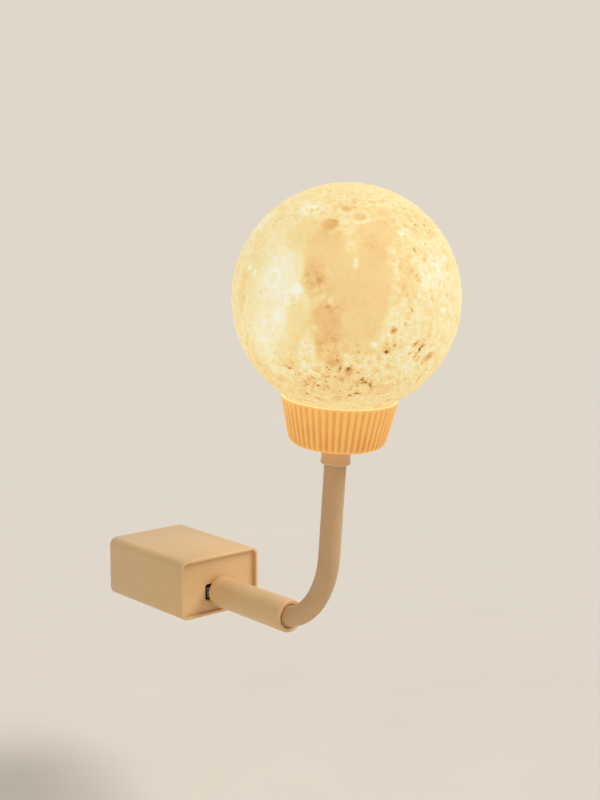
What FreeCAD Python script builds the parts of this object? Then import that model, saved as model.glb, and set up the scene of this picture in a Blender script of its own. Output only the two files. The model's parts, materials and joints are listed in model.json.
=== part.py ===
import FreeCAD, Part
import math
import os
import re
import Sketcher

# A plug-in night light: a printed moon shade on a fluted cup, carried by a bendable neck
# that grows out of a round plug barrel, which stands in the port of a mains adapter.
#
# Frame of the whole part, in millimetres: the origin is the centre of the adapter's back
# face, which lies against the wall. +X runs along the wall, +Y into the wall, +Z up.
# "Out" below is the distance out from the wall, which is -Y.

V = FreeCAD.Vector
X_AXIS = V(1, 0, 0)
Z_AXIS = V(0, 0, 1)
SAME = 0.001

SIZES = (
    ("cut_past", 1.0, "how far a cut runs past the faces that it opens"),
    # adapter
    ("adapter_width", 48.0, "adapter, side to side"),
    ("adapter_height", 30.0, "adapter, top to bottom"),
    ("adapter_depth", 63.0, "adapter, wall to front rim"),
    ("adapter_corner", 4.0, "rounding of the adapter's long edges"),
    ("adapter_wall", 2.2, "housing wall"),
    ("rim_width", 1.4, "width of the rim round the front plate"),
    ("rim_round", 0.6, "rounding of the front rim"),
    ("front_recess", 2.0, "how far the front plate sits back"),
    ("front_plate_thick", 2.0, "front plate"),
    ("back_plate_thick", 2.4, "back plate"),
    ("plate_fit", 0.1, "clearance round both plates"),
    # mains pins
    ("pin_spacing", 12.7, "pin to pin"),
    ("pin_thick", 1.5, "blade thickness"),
    ("pin_width", 6.3, "blade height"),
    ("pin_reach", 17.0, "blade length behind the back face"),
    ("pin_inside", 5.0, "blade length inside the adapter"),
    ("pin_fit", 0.1, "clearance round a blade"),
    ("lead_thick", 0.8, "lead strip thickness"),
    ("lead_width", 2.0, "lead strip width"),
    ("lead_foot", 3.0, "how far a lead's foot runs past the board's back edge"),
    ("pin_round", 0.375, "rounding of a blade's nose"),
    # port
    ("port_drop", 3.8, "port axis below the adapter's middle"),
    ("port_window_width", 15.6, "window in the front plate"),
    ("port_window_height", 8.2, "window in the front plate"),
    ("port_width", 13.2, "port shell, outside"),
    ("port_height", 5.8, "port shell, outside"),
    ("port_depth", 13.0, "port shell, front to back"),
    ("port_setback", 0.4, "port shell behind the front plate's face"),
    ("port_sheet", 0.3, "sheet metal of the port"),
    ("port_base_depth", 2.5, "moulded base of the port tongue"),
    ("tongue_width", 11.0, "port tongue"),
    ("tongue_thick", 1.6, "port tongue"),
    ("tongue_rise", 0.3, "tongue above the port axis"),
    ("tongue_setback", 1.2, "tongue behind the port's mouth"),
    ("contact_width", 1.0, "contact strip"),
    ("contact_thick", 0.15, "contact strip"),
    ("contact_inner", 1.0, "inner contacts from the middle"),
    ("contact_outer", 3.5, "outer contacts from the middle"),
    ("contact_setback", 2.4, "port contacts behind the port's mouth"),
    # circuit in the adapter
    ("board_thick", 1.6, "circuit boards"),
    ("board_gap", 0.05, "port shell above its board"),
    ("board_side_gap", 1.8, "board to housing wall"),
    ("board_start", 6.0, "board's back edge, out from the wall"),
    ("core_width", 16.0, "transformer core"),
    ("core_height", 14.0, "transformer core"),
    ("core_depth", 12.0, "transformer core"),
    ("core_leg", 3.0, "transformer core, outer legs"),
    ("core_middle", 4.4, "transformer core, middle leg"),
    ("winding_fit", 0.2, "winding to core"),
    ("winding_depth", 16.0, "winding, front to back"),
    ("core_out", 33.0, "transformer's middle, out from the wall"),
    ("core_across", 9.5, "transformer's middle, to the right"),
    ("capacitor_radius", 4.0, "input capacitors"),
    ("capacitor_length", 14.0, "input capacitors"),
    ("capacitor_start", 10.0, "input capacitors' back end"),
    ("capacitor_left", 12.0, "left capacitor's middle, to the left"),
    ("capacitor_right", 2.8, "right capacitor's middle, to the left"),
    ("output_radius", 3.2, "output capacitor"),
    ("output_height", 11.0, "output capacitor"),
    ("part_gap", 0.1, "electronic parts above their board"),
    ("rectifier_side", 6.5, "rectifier"),
    ("rectifier_height", 2.6, "rectifier"),
    ("rectifier_start", 13.25, "rectifier's back edge, out from the wall"),
    ("fuse_radius", 1.8, "fuse"),
    ("fuse_length", 10.0, "fuse"),
    ("chip_side", 5.0, "controller chip"),
    ("chip_height", 1.6, "controller chip"),
    ("chip_gap", 1.2, "controller chip to output capacitor"),
    ("edge_margin", 1.0, "parts from the board's side edges"),
    # plug
    ("barrel_gap", 0.4, "barrel to the front plate's face"),
    ("barrel_length", 55.6, "barrel"),
    ("barrel_radius_wall", 7.65, "barrel radius at the adapter"),
    ("barrel_radius_neck", 7.9, "barrel radius at the neck"),
    ("barrel_bore", 5.9, "barrel bore radius"),
    ("barrel_end_wall", 2.0, "barrel's closed end"),
    ("barrel_round", 2.0, "rounding at the adapter end"),
    ("barrel_mouth_round", 0.5, "rounding at the neck end"),
    ("plug_width", 12.0, "plug shell, outside"),
    ("plug_height", 4.5, "plug shell, outside"),
    ("plug_reach", 10.2, "plug shell in front of the barrel"),
    ("plug_rear", 5.0, "plug shell inside the barrel"),
    ("plug_sheet", 0.3, "sheet metal of the plug"),
    ("plug_fit", 0.06, "insulator to plug shell, plug shell to barrel"),
    ("insulator_top", 0.25, "insulator's top below the plug axis"),
    ("contact_nose", 2.0, "plug contacts behind the plug's nose"),
    ("plug_board_width", 9.6, "board in the barrel"),
    ("plug_board_thick", 1.2, "board in the barrel"),
    ("plug_board_length", 22.0, "board in the barrel"),
    ("driver_side", 4.0, "driver chip"),
    ("driver_height", 1.4, "driver chip"),
    ("driver_start", 4.0, "driver chip from the plug board's end"),
    ("resistor_length", 2.4, "resistor"),
    ("resistor_width", 1.4, "resistor"),
    ("resistor_height", 0.6, "resistor"),
    ("resistor_start", 12.0, "resistors from the plug board's end"),
    # neck
    ("neck_radius", 5.0, "neck"),
    ("neck_bore", 2.0, "wire bore in the neck"),
    ("neck_flare", 3.7, "bore radius at a ball's top"),
    ("joint_clearance", 0.45, "ball to socket"),
    ("foot_length", 20.5, "neck foot inside the barrel"),
    ("foot_proud", 1.5, "first hinge past the barrel's mouth"),
    ("gland_length", 8.0, "gland ring"),
    ("gland_setback", 1.0, "gland ring behind the mouth"),
    ("ring_fit", 0.05, "gland and ferrule to neck and bore"),
    ("ferrule_length", 7.0, "lower ferrule"),
    ("link_one_length", 9.5, "hinge 1 to hinge 2"),
    ("link_two_length", 9.5, "hinge 2 to hinge 3"),
    ("link_three_length", 10.0, "hinge 3 to hinge 4"),
    ("link_four_length", 11.0, "hinge 4 to hinge 5"),
    ("link_five_length", 11.5, "hinge 5 to hinge 6"),
    ("link_upper_length", 8.6, "between the hinges of the upright part"),
    ("bend_one", 26.0, "degrees the neck turns up at hinge 1"),
    ("bend_two", 15.0, "degrees the neck turns up at hinge 2"),
    ("bend_three", 15.0, "degrees the neck turns up at hinge 3"),
    ("bend_four", 13.0, "degrees the neck turns up at hinge 4"),
    ("bend_five", 16.0, "degrees the neck turns up at hinge 5"),
    ("wire_radius", 0.6, "wire in the neck"),
    ("wire_spread", 0.75, "wire off the neck's middle"),
    ("wire_gap", 0.1, "wire ends to the boards"),
    # head
    ("collar_rise", 3.8, "collar's bottom past the last hinge"),
    ("collar_radius", 6.7, "collar"),
    ("collar_height", 8.9, "collar"),
    ("collar_round", 0.5, "collar's edges"),
    ("collar_fit", 0.1, "collar to neck tip"),
    ("nipple_radius", 4.0, "threaded nipple"),
    ("nipple_reach", 7.0, "nipple above the cup's floor face"),
    ("nipple_shoulder", 0.6, "shoulder below the collar's top"),
    ("nut_across", 7.2, "nut, corner radius"),
    ("nut_height", 3.0, "nut"),
    ("washer_radius", 7.6, "washer"),
    ("washer_thick", 0.8, "washer"),
    ("cup_height", 21.6, "cup"),
    ("cup_mouth", 24.27, "cup's inner radius at the rim, where the globe rests"),
    ("cup_wall", 1.9, "cup wall"),
    ("cup_taper", 13.0, "degrees of the cup's side"),
    ("cup_floor", 2.0, "cup floor"),
    ("cup_round", 3.6, "outer rounding at the cup's bottom"),
    ("flute_count", 50, "flutes round the cup"),
    ("flute_radius", 0.75, "groove between two flutes"),
    ("flute_offset", 0.2, "groove's middle outside the surface"),
    ("cup_lip", 1.2, "plain lip above the flutes"),
    ("post_radius", 2.4, "screw post in the cup"),
    ("post_circle", 11.6, "screw posts from the middle"),
    ("board_drop", 1.0, "light board's face below the shade ring"),
    ("post_count", 3, "screw posts"),
    ("pilot_radius", 0.9, "hole in a post"),
    ("screw_radius", 0.85, "screw shank"),
    ("screw_head_radius", 1.9, "screw head"),
    ("screw_head_height", 1.2, "screw head"),
    ("screw_length", 6.0, "screw shank"),
    ("screw_hole", 1.1, "screw hole in the board"),
    ("led_board_radius", 17.0, "light board"),
    ("led_board_hole", 2.6, "wire hole in the light board"),
    ("led_count", 6, "light chips"),
    ("led_circle", 7.6, "light chips from the middle"),
    ("led_side", 3.5, "light chip"),
    ("led_height", 1.4, "light chip"),
    ("led_resistor_circle", 13.4, "resistors on the light board"),
    # shade
    ("globe_radius", 50.0, "moon shade, outside"),
    ("shade_wall", 1.8, "moon shade wall"),
    ("shade_opening", 16.5, "opening in the shade's bottom"),
    ("shade_fit", 0.15, "clearances between shade, ring and cup"),
    ("ring_wall", 2.4, "shade ring"),
    ("ring_flange", 1.6, "shade ring's flange"),
    ("ring_gap", 3.0, "flange's top below the shade's bottom edge"),
    ("ring_tube", 4.4, "height of the ring's tube above its flange"),
    ("basin_depth", 0.35, "depth of the flat basins"),
    ("crater_small", 1.2, "smallest crater radius"),
    ("crater_step", 0.35, "growth from one crater size to the next"),
    ("crater_depth", 0.6, "deepest crater"),
    ("crater_dish", 0.2, "crater depth as a share of its radius"),
    ("crater_gap", 0.8, "least distance from a small crater to a basin or a big crater"),
    ("crater_count", 90, "places for small craters all round"),
)

LINKS = ("one", "two", "three", "four", "five")
UPPER_LINKS = 4
CRATER_KINDS = 5
# Share of the globe's height that the small craters take, down from its top.
CRATER_COVER = 0.892857

# Basins and big craters: degrees round the shade from its outward side, degrees up from its
# middle, and radius in millimetres. The first basins overlap into the wide dark plain that
# faces outward, with its bays below and its limb plains to the left.
BASINS = (
    (-32, 28, 13.5), (-34, 5, 13.0), (-55, 25, 11.0), (-48, 2, 9.5), (-21, 44, 7.0),
    (-48, -23, 5.2), (-73, -23, 5.2), (-78, 40, 6.5), (-97, 21, 5.0),
    (118, 24, 14.0), (148, -6, 12.0), (96, -22, 7.5), (-150, 30, 11.0), (-138, -16, 9.5),
    (176, 50, 8.0), (64, 50, 6.0),
)
BIG_CRATERS = (
    (-19, -5.6, 2.2), (-13, -2.8, 1.0), (-21, -16, 2.4), (8, -21, 3.0), (-78, 52, 2.4),
    (-48, 55, 2.6), (-37, 51, 3.2), (-82, 14, 3.2), (-39, -28, 2.8), (-59, -34, 3.2),
    (20, 23, 3.0), (60, -14, 3.6), (84, 30, 3.2), (152, 42, 3.4), (-152, -30, 3.0),
    (-112, 50, 2.6), (-26, -44, 2.8), (34, -44, 2.8), (122, -8, 3.0), (-108, -9, 3.4),
    (180, 12, 3.0),
)

doc = FreeCAD.newDocument("moon_night_light")
sheet = doc.addObject("Spreadsheet::Sheet", "Sizes")
for row, (alias, number, note) in enumerate(SIZES, start=1):
    sheet.set("A%d" % row, note)
    sheet.set("B%d" % row, str(number))
    sheet.setAlias("B%d" % row, alias)
doc.recompute()

ALIASES = {alias for alias, number, note in SIZES}
parts = []


def size(alias):
    """A size from the sheet, as a number."""
    return float(sheet.get(alias))


def bound(text):
    """The same expression with every size read from the sheet."""
    def name(match):
        word = match.group()
        return "Sizes." + word if word in ALIASES else word
    return re.sub(r"[a-z_]+", name, text)


# Places along the plug's axis, out from the wall.
FACE = "(adapter_depth - front_recess)"
PORT_MOUTH = "(adapter_depth - front_recess - port_setback)"
PORT_BACK = "(adapter_depth - front_recess - port_setback - port_depth)"
BARREL_START = "(adapter_depth - front_recess + barrel_gap)"
BARREL_END = "(adapter_depth - front_recess + barrel_gap + barrel_length)"
PLUG_NOSE = "(adapter_depth - front_recess + barrel_gap - plug_reach)"
PLUG_TAIL = "(adapter_depth - front_recess + barrel_gap + plug_rear)"
FOOT_END = "(adapter_depth - front_recess + barrel_gap + barrel_length + foot_proud)"
FOOT_START = "(adapter_depth - front_recess + barrel_gap + barrel_length - foot_length)"

# Heights in the adapter, measured from its middle, and in the plug from the plug's axis.
BOARD_TOP = "(-port_drop - port_height / 2 - board_gap)"
PARTS_BASE = "(-port_drop - port_height / 2 - board_gap + part_gap)"

# Places along the head's axis, up from the last hinge.
CUP_BASE = "(collar_rise + collar_height)"
CUP_RIM = "(collar_rise + collar_height + cup_height)"
# The globe rests in the rim, the shade ring hangs below the globe's opening, and the
# light board stands below the ring.
GLOBE_RISE = "sqrt(globe_radius ^ 2 - (cup_mouth - shade_fit) ^ 2)"
SHADE_EDGE = "sqrt(globe_radius ^ 2 - shade_opening ^ 2)"
FLANGE_TOP = "(%s + %s - %s - ring_gap)" % (CUP_RIM, GLOBE_RISE, SHADE_EDGE)
FLANGE_BASE = "(%s - ring_flange)" % FLANGE_TOP
BOARD_FACE = "(%s - board_drop)" % FLANGE_BASE
BOARD_BASE = "(%s - board_thick)" % BOARD_FACE

TAPER = "tan(cup_taper * 1 deg)"
BOARD_SIDE = "(adapter_width / 2 - adapter_wall - board_side_gap)"


def globe_place():
    """The globe's middle and the light board's underside, up from the last hinge."""
    rim = size("collar_rise") + size("collar_height") + size("cup_height")
    globe = size("globe_radius")
    middle = rim + math.sqrt(globe ** 2 - (size("cup_mouth") - size("shade_fit")) ** 2)
    edge = middle - math.sqrt(globe ** 2 - size("shade_opening") ** 2)
    board = (edge - size("ring_gap") - size("ring_flange") - size("board_drop")
             - size("board_thick"))
    return middle, board


def wall_frame(up):
    """Body X across, body Y up and body Z out from the wall, at this height."""
    return FreeCAD.Placement(V(0, 0, up), FreeCAD.Rotation(X_AXIS, 90))


ADAPTER = wall_frame(0)
PLUG = wall_frame(-size("port_drop"))


def neck_chain():
    """Every hinge's frame: at the hinge, with body Z along the link that starts there."""
    out = (size("adapter_depth") - size("front_recess") + size("barrel_gap")
           + size("barrel_length") + size("foot_proud"))
    up = -size("port_drop")
    angle = 0.0
    frames = []
    lengths = [size("link_%s_length" % word) for word in LINKS]
    lengths += [size("link_upper_length")] * UPPER_LINKS
    for number, length in enumerate(lengths + [0.0]):
        if number < len(LINKS):
            angle += size("bend_%s" % LINKS[number])
        turn = FreeCAD.Rotation(X_AXIS, 90 - angle)
        frames.append(FreeCAD.Placement(V(0, -out, up), turn))
        out += length * math.cos(math.radians(angle))
        up += length * math.sin(math.radians(angle))
    return frames


HINGES = neck_chain()
HEAD = HINGES[-1]


def new_body(label, frame):
    """An empty body for one sub-part."""
    body = doc.addObject("PartDesign::Body", label)
    body.Label = label
    body.AllowCompound = True
    body.Placement = frame
    parts.append(body)
    return body


def feature(body, kind, name, **bindings):
    """One feature of a body, with its properties bound to expressions."""
    made = body.newObject("PartDesign::" + kind, body.Label + "_" + name)
    for path, text in bindings.items():
        made.setExpression(path.replace("__", "."), bound(text))
    return made


def block(body, name, across, up, out, cut=False):
    """A box between three pairs of expressions, added or cut."""
    low_x, high_x = across
    low_y, high_y = up
    low_z, high_z = out
    return feature(
        body, "SubtractiveBox" if cut else "AdditiveBox", name,
        Length="(%s) - (%s)" % (high_x, low_x),
        Width="(%s) - (%s)" % (high_y, low_y),
        Height="(%s) - (%s)" % (high_z, low_z),
        Placement__Base__x=low_x, Placement__Base__y=low_y, Placement__Base__z=low_z)


def middle_block(body, name, width, up, out, cut=False):
    """A box centred across its body."""
    half = "(%s) / 2" % width
    return block(body, name, ("-" + half, half), up, out, cut)


def rod(body, name, radius, out, across="0", up="0", cut=False):
    """A cylinder along body Z, added or cut."""
    low, high = out
    return feature(
        body, "SubtractiveCylinder" if cut else "AdditiveCylinder", name,
        Radius=radius, Height="(%s) - (%s)" % (high, low),
        Placement__Base__x=across, Placement__Base__y=up, Placement__Base__z=low)


def ball(body, name, radius, out, cut=False):
    """A sphere on body Z, added or cut."""
    return feature(
        body, "SubtractiveSphere" if cut else "AdditiveSphere", name,
        Radius=radius, Placement__Base__z=out)


def outline(body, name, corners):
    """A closed outline in the body's XZ plane; each corner is a pair of expressions."""
    sketch = body.newObject("Sketcher::SketchObject", body.Label + "_" + name)
    plane = [item for item in body.Origin.OriginFeatures if item.Role == "XZ_Plane"]
    sketch.AttachmentSupport = (plane[0], "")
    sketch.MapMode = "FlatFace"
    count = len(corners)
    start = [V(math.cos(2 * math.pi * i / count), math.sin(2 * math.pi * i / count), 0)
             for i in range(count)]
    for i in range(count):
        sketch.addGeometry(Part.LineSegment(start[i], start[(i + 1) % count]), False)
    for i in range(count):
        sketch.addConstraint(Sketcher.Constraint("Coincident", i, 2, (i + 1) % count, 1))
    for i, corner in enumerate(corners):
        for kind, text in zip(("DistanceX", "DistanceY"), corner):
            number = sketch.addConstraint(Sketcher.Constraint(kind, -1, 1, i, 1, 1.0))
            sketch.setExpression("Constraints[%d]" % number, bound(text))
    return sketch


def turned(body, name, corners):
    """A solid turned about body Z; each corner is a radius and a place along the axis."""
    sketch = outline(body, name + "_outline", corners)
    made = body.newObject("PartDesign::Revolution", body.Label + "_" + name)
    made.Profile = sketch
    made.ReferenceAxis = (sketch, ["V_Axis"])
    made.Angle = 360
    return made


def ring(body, name, inner, outer, out):
    """A plain ring round body Z."""
    low, high = out
    return turned(body, name, ((inner, low), (outer, low), (outer, high), (inner, high)))


def round_edges(body, name, radius, wanted):
    """A fillet on the edges that a test picks from the body's tip."""
    doc.recompute()
    base = body.Tip
    names = ["Edge%d" % i for i, edge in enumerate(base.Shape.Edges, start=1) if wanted(edge)]
    made = body.newObject("PartDesign::Fillet", body.Label + "_" + name)
    made.Base = (base, names)
    made.setExpression("Radius", bound(radius))
    return made


def round_pattern(body, name, originals, count):
    """Equal copies of features all the way round body Z."""
    axis = [item for item in body.Origin.OriginFeatures if item.Role == "Z_Axis"]
    made = body.newObject("PartDesign::PolarPattern", body.Label + "_" + name)
    made.Originals = originals
    made.Axis = (axis[0], [""])
    made.Angle = 360
    made.setExpression("Occurrences", bound(count))
    body.Tip = made
    return made


def along_axis(edge):
    """True for a straight edge that runs along body Z."""
    if not isinstance(edge.Curve, Part.Line):
        return False
    return abs(abs(edge.Curve.Direction.dot(Z_AXIS)) - 1) < SAME


def circle_at(edge, radius, height):
    """True for a whole circle of this radius at this place along body Z."""
    if not isinstance(edge.Curve, Part.Circle) or not edge.isClosed():
        return False
    return (abs(edge.Curve.Radius - radius) < SAME
            and abs(edge.Curve.Center.z - height) < SAME)


# ---------------------------------------------------------------- adapter

def adapter_housing():
    """A square tube with rounded long edges, stepped at both ends to seat the plates."""
    body = new_body("adapter_housing", ADAPTER)
    half_height = ("-adapter_height / 2", "adapter_height / 2")
    middle_block(body, "block", "adapter_width", half_height, ("0", "adapter_depth"))
    round_edges(body, "long_edges", "adapter_corner", along_axis)
    step = (FACE + " - front_plate_thick", "adapter_depth + cut_past")
    seats = (
        ("cavity", "adapter_wall", ("-cut_past", "adapter_depth + cut_past")),
        ("front_seat", "rim_width", step),
        ("back_seat", "rim_width", ("-cut_past", "back_plate_thick")),
    )
    for name, wall, out in seats:
        height = "(adapter_height / 2 - %s)" % wall
        middle_block(body, name, "adapter_width - 2 * %s" % wall,
                     ("-" + height, height), out, cut=True)
    doc.recompute()
    wide = size("adapter_width") / 2 - size("rim_width")
    round_edges(body, "seat_corners", "adapter_corner - rim_width",
                lambda edge: along_axis(edge) and abs(abs(edge.BoundBox.XMin) - wide) < SAME)
    doc.recompute()
    front = size("adapter_depth")
    edge_of_rim = size("adapter_width") / 2 - size("rim_width") / 2
    side_of_rim = size("adapter_height") / 2 - size("rim_width") / 2
    round_edges(body, "front_edges", "rim_round",
                lambda edge: abs(edge.BoundBox.ZMin - front) < SAME
                and (abs(edge.BoundBox.Center.x) > edge_of_rim
                     or abs(edge.BoundBox.Center.y) > side_of_rim))


def plate(label, out, corner):
    """A plate that fits a seat in the housing, with rounded corners."""
    body = new_body(label, ADAPTER)
    height = "(adapter_height / 2 - rim_width - plate_fit)"
    middle_block(body, "plate", "adapter_width - 2 * (rim_width + plate_fit)",
                 ("-" + height, height), out)
    round_edges(body, "corners", corner, along_axis)
    return body


def front_plate():
    """The recessed plate with the port's window in it."""
    body = plate("adapter_front_plate", (FACE + " - front_plate_thick", FACE),
                 "adapter_corner - rim_width - plate_fit")
    middle_block(body, "window", "port_window_width",
                 ("-port_drop - port_window_height / 2", "-port_drop + port_window_height / 2"),
                 (FACE + " - front_plate_thick - cut_past", FACE + " + cut_past"), cut=True)


def back_plate():
    """The plate against the wall, slotted for the two blades."""
    body = plate("adapter_back_plate", ("0", "back_plate_thick"),
                 "adapter_corner - rim_width - plate_fit")
    for name, sign in (("left", "-"), ("right", "")):
        middle = "%spin_spacing / 2" % sign
        half = "pin_thick / 2 + pin_fit"
        block(body, name + "_slot", ("%s - (%s)" % (middle, half), "%s + %s" % (middle, half)),
              ("-pin_width / 2 - pin_fit", "pin_width / 2 + pin_fit"),
              ("-cut_past", "back_plate_thick + cut_past"), cut=True)


def mains_pins():
    """Two flat blades that stand out behind the back face."""
    body = new_body("mains_pins", ADAPTER)
    for name, sign in (("left", "-"), ("right", "")):
        middle = "%spin_spacing / 2" % sign
        block(body, name, (middle + " - pin_thick / 2", middle + " + pin_thick / 2"),
              ("-pin_width / 2", "pin_width / 2"), ("-pin_reach", "pin_inside"))
    doc.recompute()
    back = -size("pin_reach")
    round_edges(body, "noses", "pin_round",
                lambda edge: abs(edge.BoundBox.ZMax - back) < SAME
                and edge.BoundBox.YLength > size("pin_thick"))


def pin_leads():
    """Two bent strips that take each blade's current down to the board."""
    body = new_body("pin_leads", ADAPTER)
    for name, sign in (("left", "-"), ("right", "")):
        middle = "%spin_spacing / 2" % sign
        across = (middle + " - lead_width / 2", middle + " + lead_width / 2")
        near = "pin_inside + part_gap"
        block(body, name + "_strip", across, (PARTS_BASE, "pin_width / 2"),
              (near, near + " + lead_thick"))
        block(body, name + "_foot", across, (PARTS_BASE, PARTS_BASE + " + lead_thick"),
              (near, "board_start + lead_foot"))


def port():
    """The port: a sheet metal shell, a moulded tongue and four contact strips."""
    shell = new_body("port_shell", PLUG)
    middle_block(shell, "shell", "port_width", ("-port_height / 2", "port_height / 2"),
                 (PORT_BACK, PORT_MOUTH))
    inside = "(port_height / 2 - port_sheet)"
    middle_block(shell, "inside", "port_width - 2 * port_sheet", ("-" + inside, inside),
                 (PORT_BACK + " - cut_past", PORT_MOUTH + " + cut_past"), cut=True)
    tongue = new_body("port_tongue", PLUG)
    base = "(port_height / 2 - port_sheet - plug_fit)"
    middle_block(tongue, "base", "port_width - 2 * (port_sheet + plug_fit)", ("-" + base, base),
                 (PORT_BACK, PORT_BACK + " + port_base_depth"))
    middle_block(tongue, "tongue", "tongue_width",
                 ("tongue_rise", "tongue_rise + tongue_thick"),
                 (PORT_BACK, PORT_MOUTH + " - tongue_setback"))
    contacts = new_body("port_contacts", PLUG)
    contact_strips(contacts, ("tongue_rise - contact_thick", "tongue_rise"),
                   (PORT_BACK + " + port_base_depth", PORT_MOUTH + " - contact_setback"))


def contact_strips(body, up, out):
    """Four contact strips side by side."""
    for name, middle in (("one", "-contact_outer"), ("two", "-contact_inner"),
                         ("three", "contact_inner"), ("four", "contact_outer")):
        block(body, name, (middle + " - contact_width / 2", middle + " + contact_width / 2"),
              up, out)


def adapter_board():
    """The circuit board below the port, its rear edge clear of the blades."""
    body = new_body("adapter_board", ADAPTER)
    middle_block(body, "board", "2 * " + BOARD_SIDE,
                 (BOARD_TOP + " - board_thick", BOARD_TOP),
                 ("board_start", FACE + " - front_plate_thick - edge_margin"))


def transformer():
    """A core with two windows, and the winding round its middle leg."""
    core = new_body("transformer_core", ADAPTER)
    up = (PARTS_BASE, PARTS_BASE + " + core_height")
    out = ("core_out - core_depth / 2", "core_out + core_depth / 2")
    block(core, "core", ("core_across - core_width / 2", "core_across + core_width / 2"), up, out)
    window_up = (PARTS_BASE + " + core_leg", PARTS_BASE + " + core_height - core_leg")
    window_out = ("core_out - core_depth", "core_out + core_depth")
    block(core, "left_window",
          ("core_across - core_width / 2 + core_leg", "core_across - core_middle / 2"),
          window_up, window_out, cut=True)
    block(core, "right_window",
          ("core_across + core_middle / 2", "core_across + core_width / 2 - core_leg"),
          window_up, window_out, cut=True)
    winding = new_body("transformer_winding", ADAPTER)
    reach = "(core_width / 2 - core_leg - winding_fit)"
    winding_up = (PARTS_BASE + " + core_leg + winding_fit",
                  PARTS_BASE + " + core_height - core_leg - winding_fit")
    block(winding, "coil", ("core_across - " + reach, "core_across + " + reach), winding_up,
          ("core_out - winding_depth / 2", "core_out + winding_depth / 2"))
    leg = "(core_middle / 2 + winding_fit)"
    slot = "(core_depth / 2 + winding_fit)"
    block(winding, "leg_hole", ("core_across - " + leg, "core_across + " + leg),
          ("-adapter_height / 2", "adapter_height / 2"),
          ("core_out - " + slot, "core_out + " + slot), cut=True)


def adapter_parts():
    """What else stands on the adapter's board."""
    inputs = new_body("input_capacitors", ADAPTER)
    height = PARTS_BASE + " + capacitor_radius"
    for name, across in (("left", "-capacitor_left"), ("right", "-capacitor_right")):
        rod(inputs, name, "capacitor_radius",
            ("capacitor_start", "capacitor_start + capacitor_length"), across, height)
    upright = FreeCAD.Placement(V(0, 0, 0), FreeCAD.Rotation())
    output = new_body("output_capacitor", upright)
    edge = "edge_margin - " + BOARD_SIDE
    feature(output, "AdditiveCylinder", "can", Radius="output_radius", Height="output_height",
            Placement__Base__x=edge + " + chip_side + chip_gap + output_radius",
            Placement__Base__y="-(core_out + output_radius)",
            Placement__Base__z=PARTS_BASE)
    rectifier = new_body("rectifier", ADAPTER)
    block(rectifier, "body", ("core_across - rectifier_side / 2", "core_across + rectifier_side / 2"),
          (PARTS_BASE, PARTS_BASE + " + rectifier_height"),
          ("rectifier_start", "rectifier_start + rectifier_side"))
    fuse = new_body("fuse", ADAPTER)
    rod(fuse, "tube", "fuse_radius",
        ("capacitor_start", "capacitor_start + fuse_length"),
        BOARD_SIDE + " - edge_margin - fuse_radius", PARTS_BASE + " + fuse_radius")
    chip = new_body("controller_chip", ADAPTER)
    block(chip, "body", (edge, edge + " + chip_side"),
          (PARTS_BASE, PARTS_BASE + " + chip_height"),
          ("core_out - chip_side / 2", "core_out + chip_side / 2"))


# ---------------------------------------------------------------- plug

def plug_barrel():
    """The round barrel: closed at the adapter end but for the plug's slot, open at the neck."""
    body = new_body("plug_barrel", PLUG)
    floor = BARREL_START + " + barrel_end_wall"
    turned(body, "tube", (
        ("0", BARREL_START), ("barrel_radius_wall", BARREL_START),
        ("barrel_radius_neck", BARREL_END), ("barrel_bore", BARREL_END),
        ("barrel_bore", floor), ("0", floor)))
    doc.recompute()
    start = size("adapter_depth") - size("front_recess") + size("barrel_gap")
    end = start + size("barrel_length")
    round_edges(body, "wall_end", "barrel_round",
                lambda edge: circle_at(edge, size("barrel_radius_wall"), start))
    round_edges(body, "neck_end", "barrel_mouth_round",
                lambda edge: circle_at(edge, size("barrel_radius_neck"), end)
                or circle_at(edge, size("barrel_bore"), end))
    half = "(plug_height / 2 + plug_fit)"
    middle_block(body, "slot", "plug_width + 2 * plug_fit", ("-" + half, half),
                 (BARREL_START + " - cut_past", PLUG_TAIL + " + part_gap"), cut=True)


def plug_nose():
    """The plug: a sheet metal shell, an insulator in its lower half and four contacts."""
    shell = new_body("usb_shell", PLUG)
    middle_block(shell, "shell", "plug_width", ("-plug_height / 2", "plug_height / 2"),
                 (PLUG_NOSE, PLUG_TAIL))
    inside = "(plug_height / 2 - plug_sheet)"
    middle_block(shell, "inside", "plug_width - 2 * plug_sheet", ("-" + inside, inside),
                 (PLUG_NOSE + " - cut_past", PLUG_TAIL + " + cut_past"), cut=True)
    insulator = new_body("usb_insulator", PLUG)
    middle_block(insulator, "block", "plug_width - 2 * (plug_sheet + plug_fit)",
                 ("-plug_height / 2 + plug_sheet + plug_fit", "-insulator_top"),
                 (PLUG_NOSE + " + plug_sheet", PLUG_TAIL))
    contacts = new_body("usb_contacts", PLUG)
    contact_strips(contacts, ("-insulator_top", "-insulator_top + contact_thick"),
                   (PLUG_NOSE + " + contact_nose", PLUG_TAIL))


def plug_board():
    """The small board behind the plug, with its driver chip and two resistors."""
    start = PLUG_TAIL + " + part_gap"
    body = new_body("plug_board", PLUG)
    middle_block(body, "board", "plug_board_width",
                 ("-insulator_top - plug_board_thick", "-insulator_top"),
                 (start, start + " + plug_board_length"))
    up = ("-insulator_top + part_gap", "-insulator_top + part_gap + driver_height")
    chip = new_body("driver_chip", PLUG)
    middle_block(chip, "body", "driver_side", up,
                 (start + " + driver_start", start + " + driver_start + driver_side"))
    resistors = new_body("driver_resistors", PLUG)
    for name, sign in (("left", "-"), ("right", "")):
        middle = "%splug_board_width / 4" % sign
        block(resistors, name,
              (middle + " - resistor_width / 2", middle + " + resistor_width / 2"),
              ("-insulator_top + part_gap", "-insulator_top + part_gap + resistor_height"),
              (start + " + resistor_start", start + " + resistor_start + resistor_length"))


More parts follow.
